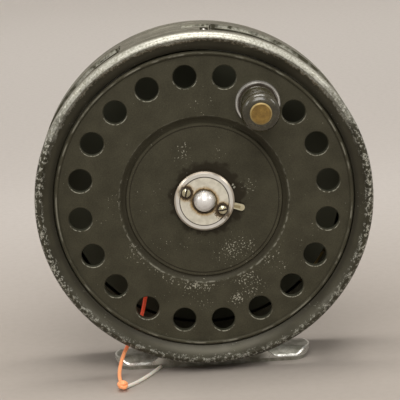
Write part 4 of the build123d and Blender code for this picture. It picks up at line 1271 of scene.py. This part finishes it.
stageSet = {
    "halfWidth": 1500.0,
    "front": -170.0,
    "bendStart": 950.0,
    "bendRadius": 300.0,
    "bendSteps": 16,
    "floorFrom": -80,
    "floorStep": 80,
    "top": 1400.0,
    "rough": 0.75,
    "gloss": 0.25,
    # one paper painted darker near the reel and lighter behind it, standing in for how the light
    # falls on it
    "nearColour": (0.41, 0.370, 0.332),
    "farColour": (0.61, 0.57, 0.535),
    "wallColour": (0.88, 0.835, 0.79),
    # metres behind the reel over which each colour gives way to the next; the lighter colours
    # further back are painted light
    "farFade": (0.0, 0.25),
    "wallFade": (0.28, 0.85),
    "speck": (420.0, 4.0),
    "speckFade": (0.4, 0.65),
    "speckColour": (0.2, 0.17, 0.13),
    "speckShare": 0.05,
}


def buildStage():
    spec = stageSet
    mesh = bpy.data.meshes.new("studioSweep")
    work = bmesh.new()
    profile = [(spec["front"], 0.0)]
    floor = range(spec["floorFrom"], int(spec["bendStart"]), spec["floorStep"])
    profile += [(y, 0.0) for y in floor]
    bend = spec["bendRadius"]
    for step in range(spec["bendSteps"] + 1):
        angle = math.radians(90 * step / spec["bendSteps"])
        profile.append((spec["bendStart"] + bend * math.sin(angle), bend * (1 - math.cos(angle))))
    profile.append((spec["bendStart"] + bend, spec["top"]))
    rows = []
    wide = spec["halfWidth"] * mm
    for y, z in profile:
        rows.append([work.verts.new((x * wide, y * mm, z * mm)) for x in (-1, -0.5, 0, 0.5, 1)])
    for row, following in zip(rows, rows[1:]):
        for side in range(len(row) - 1):
            work.faces.new((row[side], row[side + 1], following[side + 1], following[side]))
    work.to_mesh(mesh)
    work.free()
    for face in mesh.polygons:
        face.use_smooth = True
    sweep = bpy.data.objects.new("studioSweep", mesh)
    bpy.context.scene.collection.objects.link(sweep)
    material, tree, shader = newMaterial(
        "studioPaper", Roughness=spec["rough"], Specular_IOR_Level=spec["gloss"],
    )
    coords = tree.nodes.new("ShaderNodeTexCoord").outputs["Object"]
    behind = axesOf(coords)[1]
    colour = blendColour(fade(behind, *spec["farFade"]), spec["nearColour"], spec["farColour"])
    colour = blendColour(fade(behind, *spec["wallFade"]), colour, spec["wallColour"])
    speck = fade(noise(coords, *spec["speck"]), *spec["speckFade"])
    darker = blendColour(spec["speckShare"], colour, spec["speckColour"])
    feed(shader["Base Color"], blendColour(speck, colour, darker))
    sweep.data.materials.append(material)


def addLight(name, place, target, size, power):
    data = bpy.data.lights.new(name, "AREA")
    data.shape = "RECTANGLE"
    data.size, data.size_y = (value * mm for value in size)
    data.energy = power
    data.color = lampColour
    lamp = bpy.data.objects.new(name, data)
    bpy.context.scene.collection.objects.link(lamp)
    lamp.location = Vector(place) * mm
    lamp.rotation_euler = (Vector(target) - Vector(place)).to_track_quat("-Z", "Y").to_euler()


lampColour = (1.0, 0.97, 0.93)
# name, place, target and size in millimetres, and power in watts
lightSet = (
    ("topStrip", (0, 70, 1150), (0, 0, 40), (700, 260), 7.0),
    ("frontBox", (0, -690, 650), (0, 0, 50), (440, 560), 4.9),
    ("leftBox", (-640, -260, 520), (0, 0, 50), (200, 260), 1.0),
    ("rightBox", (660, -240, 500), (0, 0, 50), (200, 260), 0.9),
)
airSet = {
    "colour": (1.0, 0.965, 0.92),
    "strength": 0.20,
    "seenColour": (0.62, 0.57, 0.51),
    "seenStrength": 1.0,
}


def buildAir():
    # camera, glossy and transmission rays meet a pale studio, and all others a weak light
    world = bpy.data.worlds.new("studioAir")
    world.use_nodes = True
    tree = world.node_tree
    background = tree.nodes["Background"]
    rays = tree.nodes.new("ShaderNodeLightPath")
    kinds = ("Is Camera Ray", "Is Glossy Ray", "Is Transmission Ray")
    seen = largest(*(rays.outputs[kind] for kind in kinds))
    colour = blendColour(seen, airSet["colour"], airSet["seenColour"])
    feed(background.inputs["Color"], colour)
    strength = fade(seen, 0.0, 1.0, airSet["strength"], airSet["seenStrength"])
    feed(background.inputs["Strength"], strength)
    bpy.context.scene.world = world


def buildLight():
    for lamp in lightSet:
        addLight(*lamp)
    buildAir()
    bpy.context.scene.view_settings.view_transform = "Standard"


buildStage()
buildLight()
print("stage and lights made")
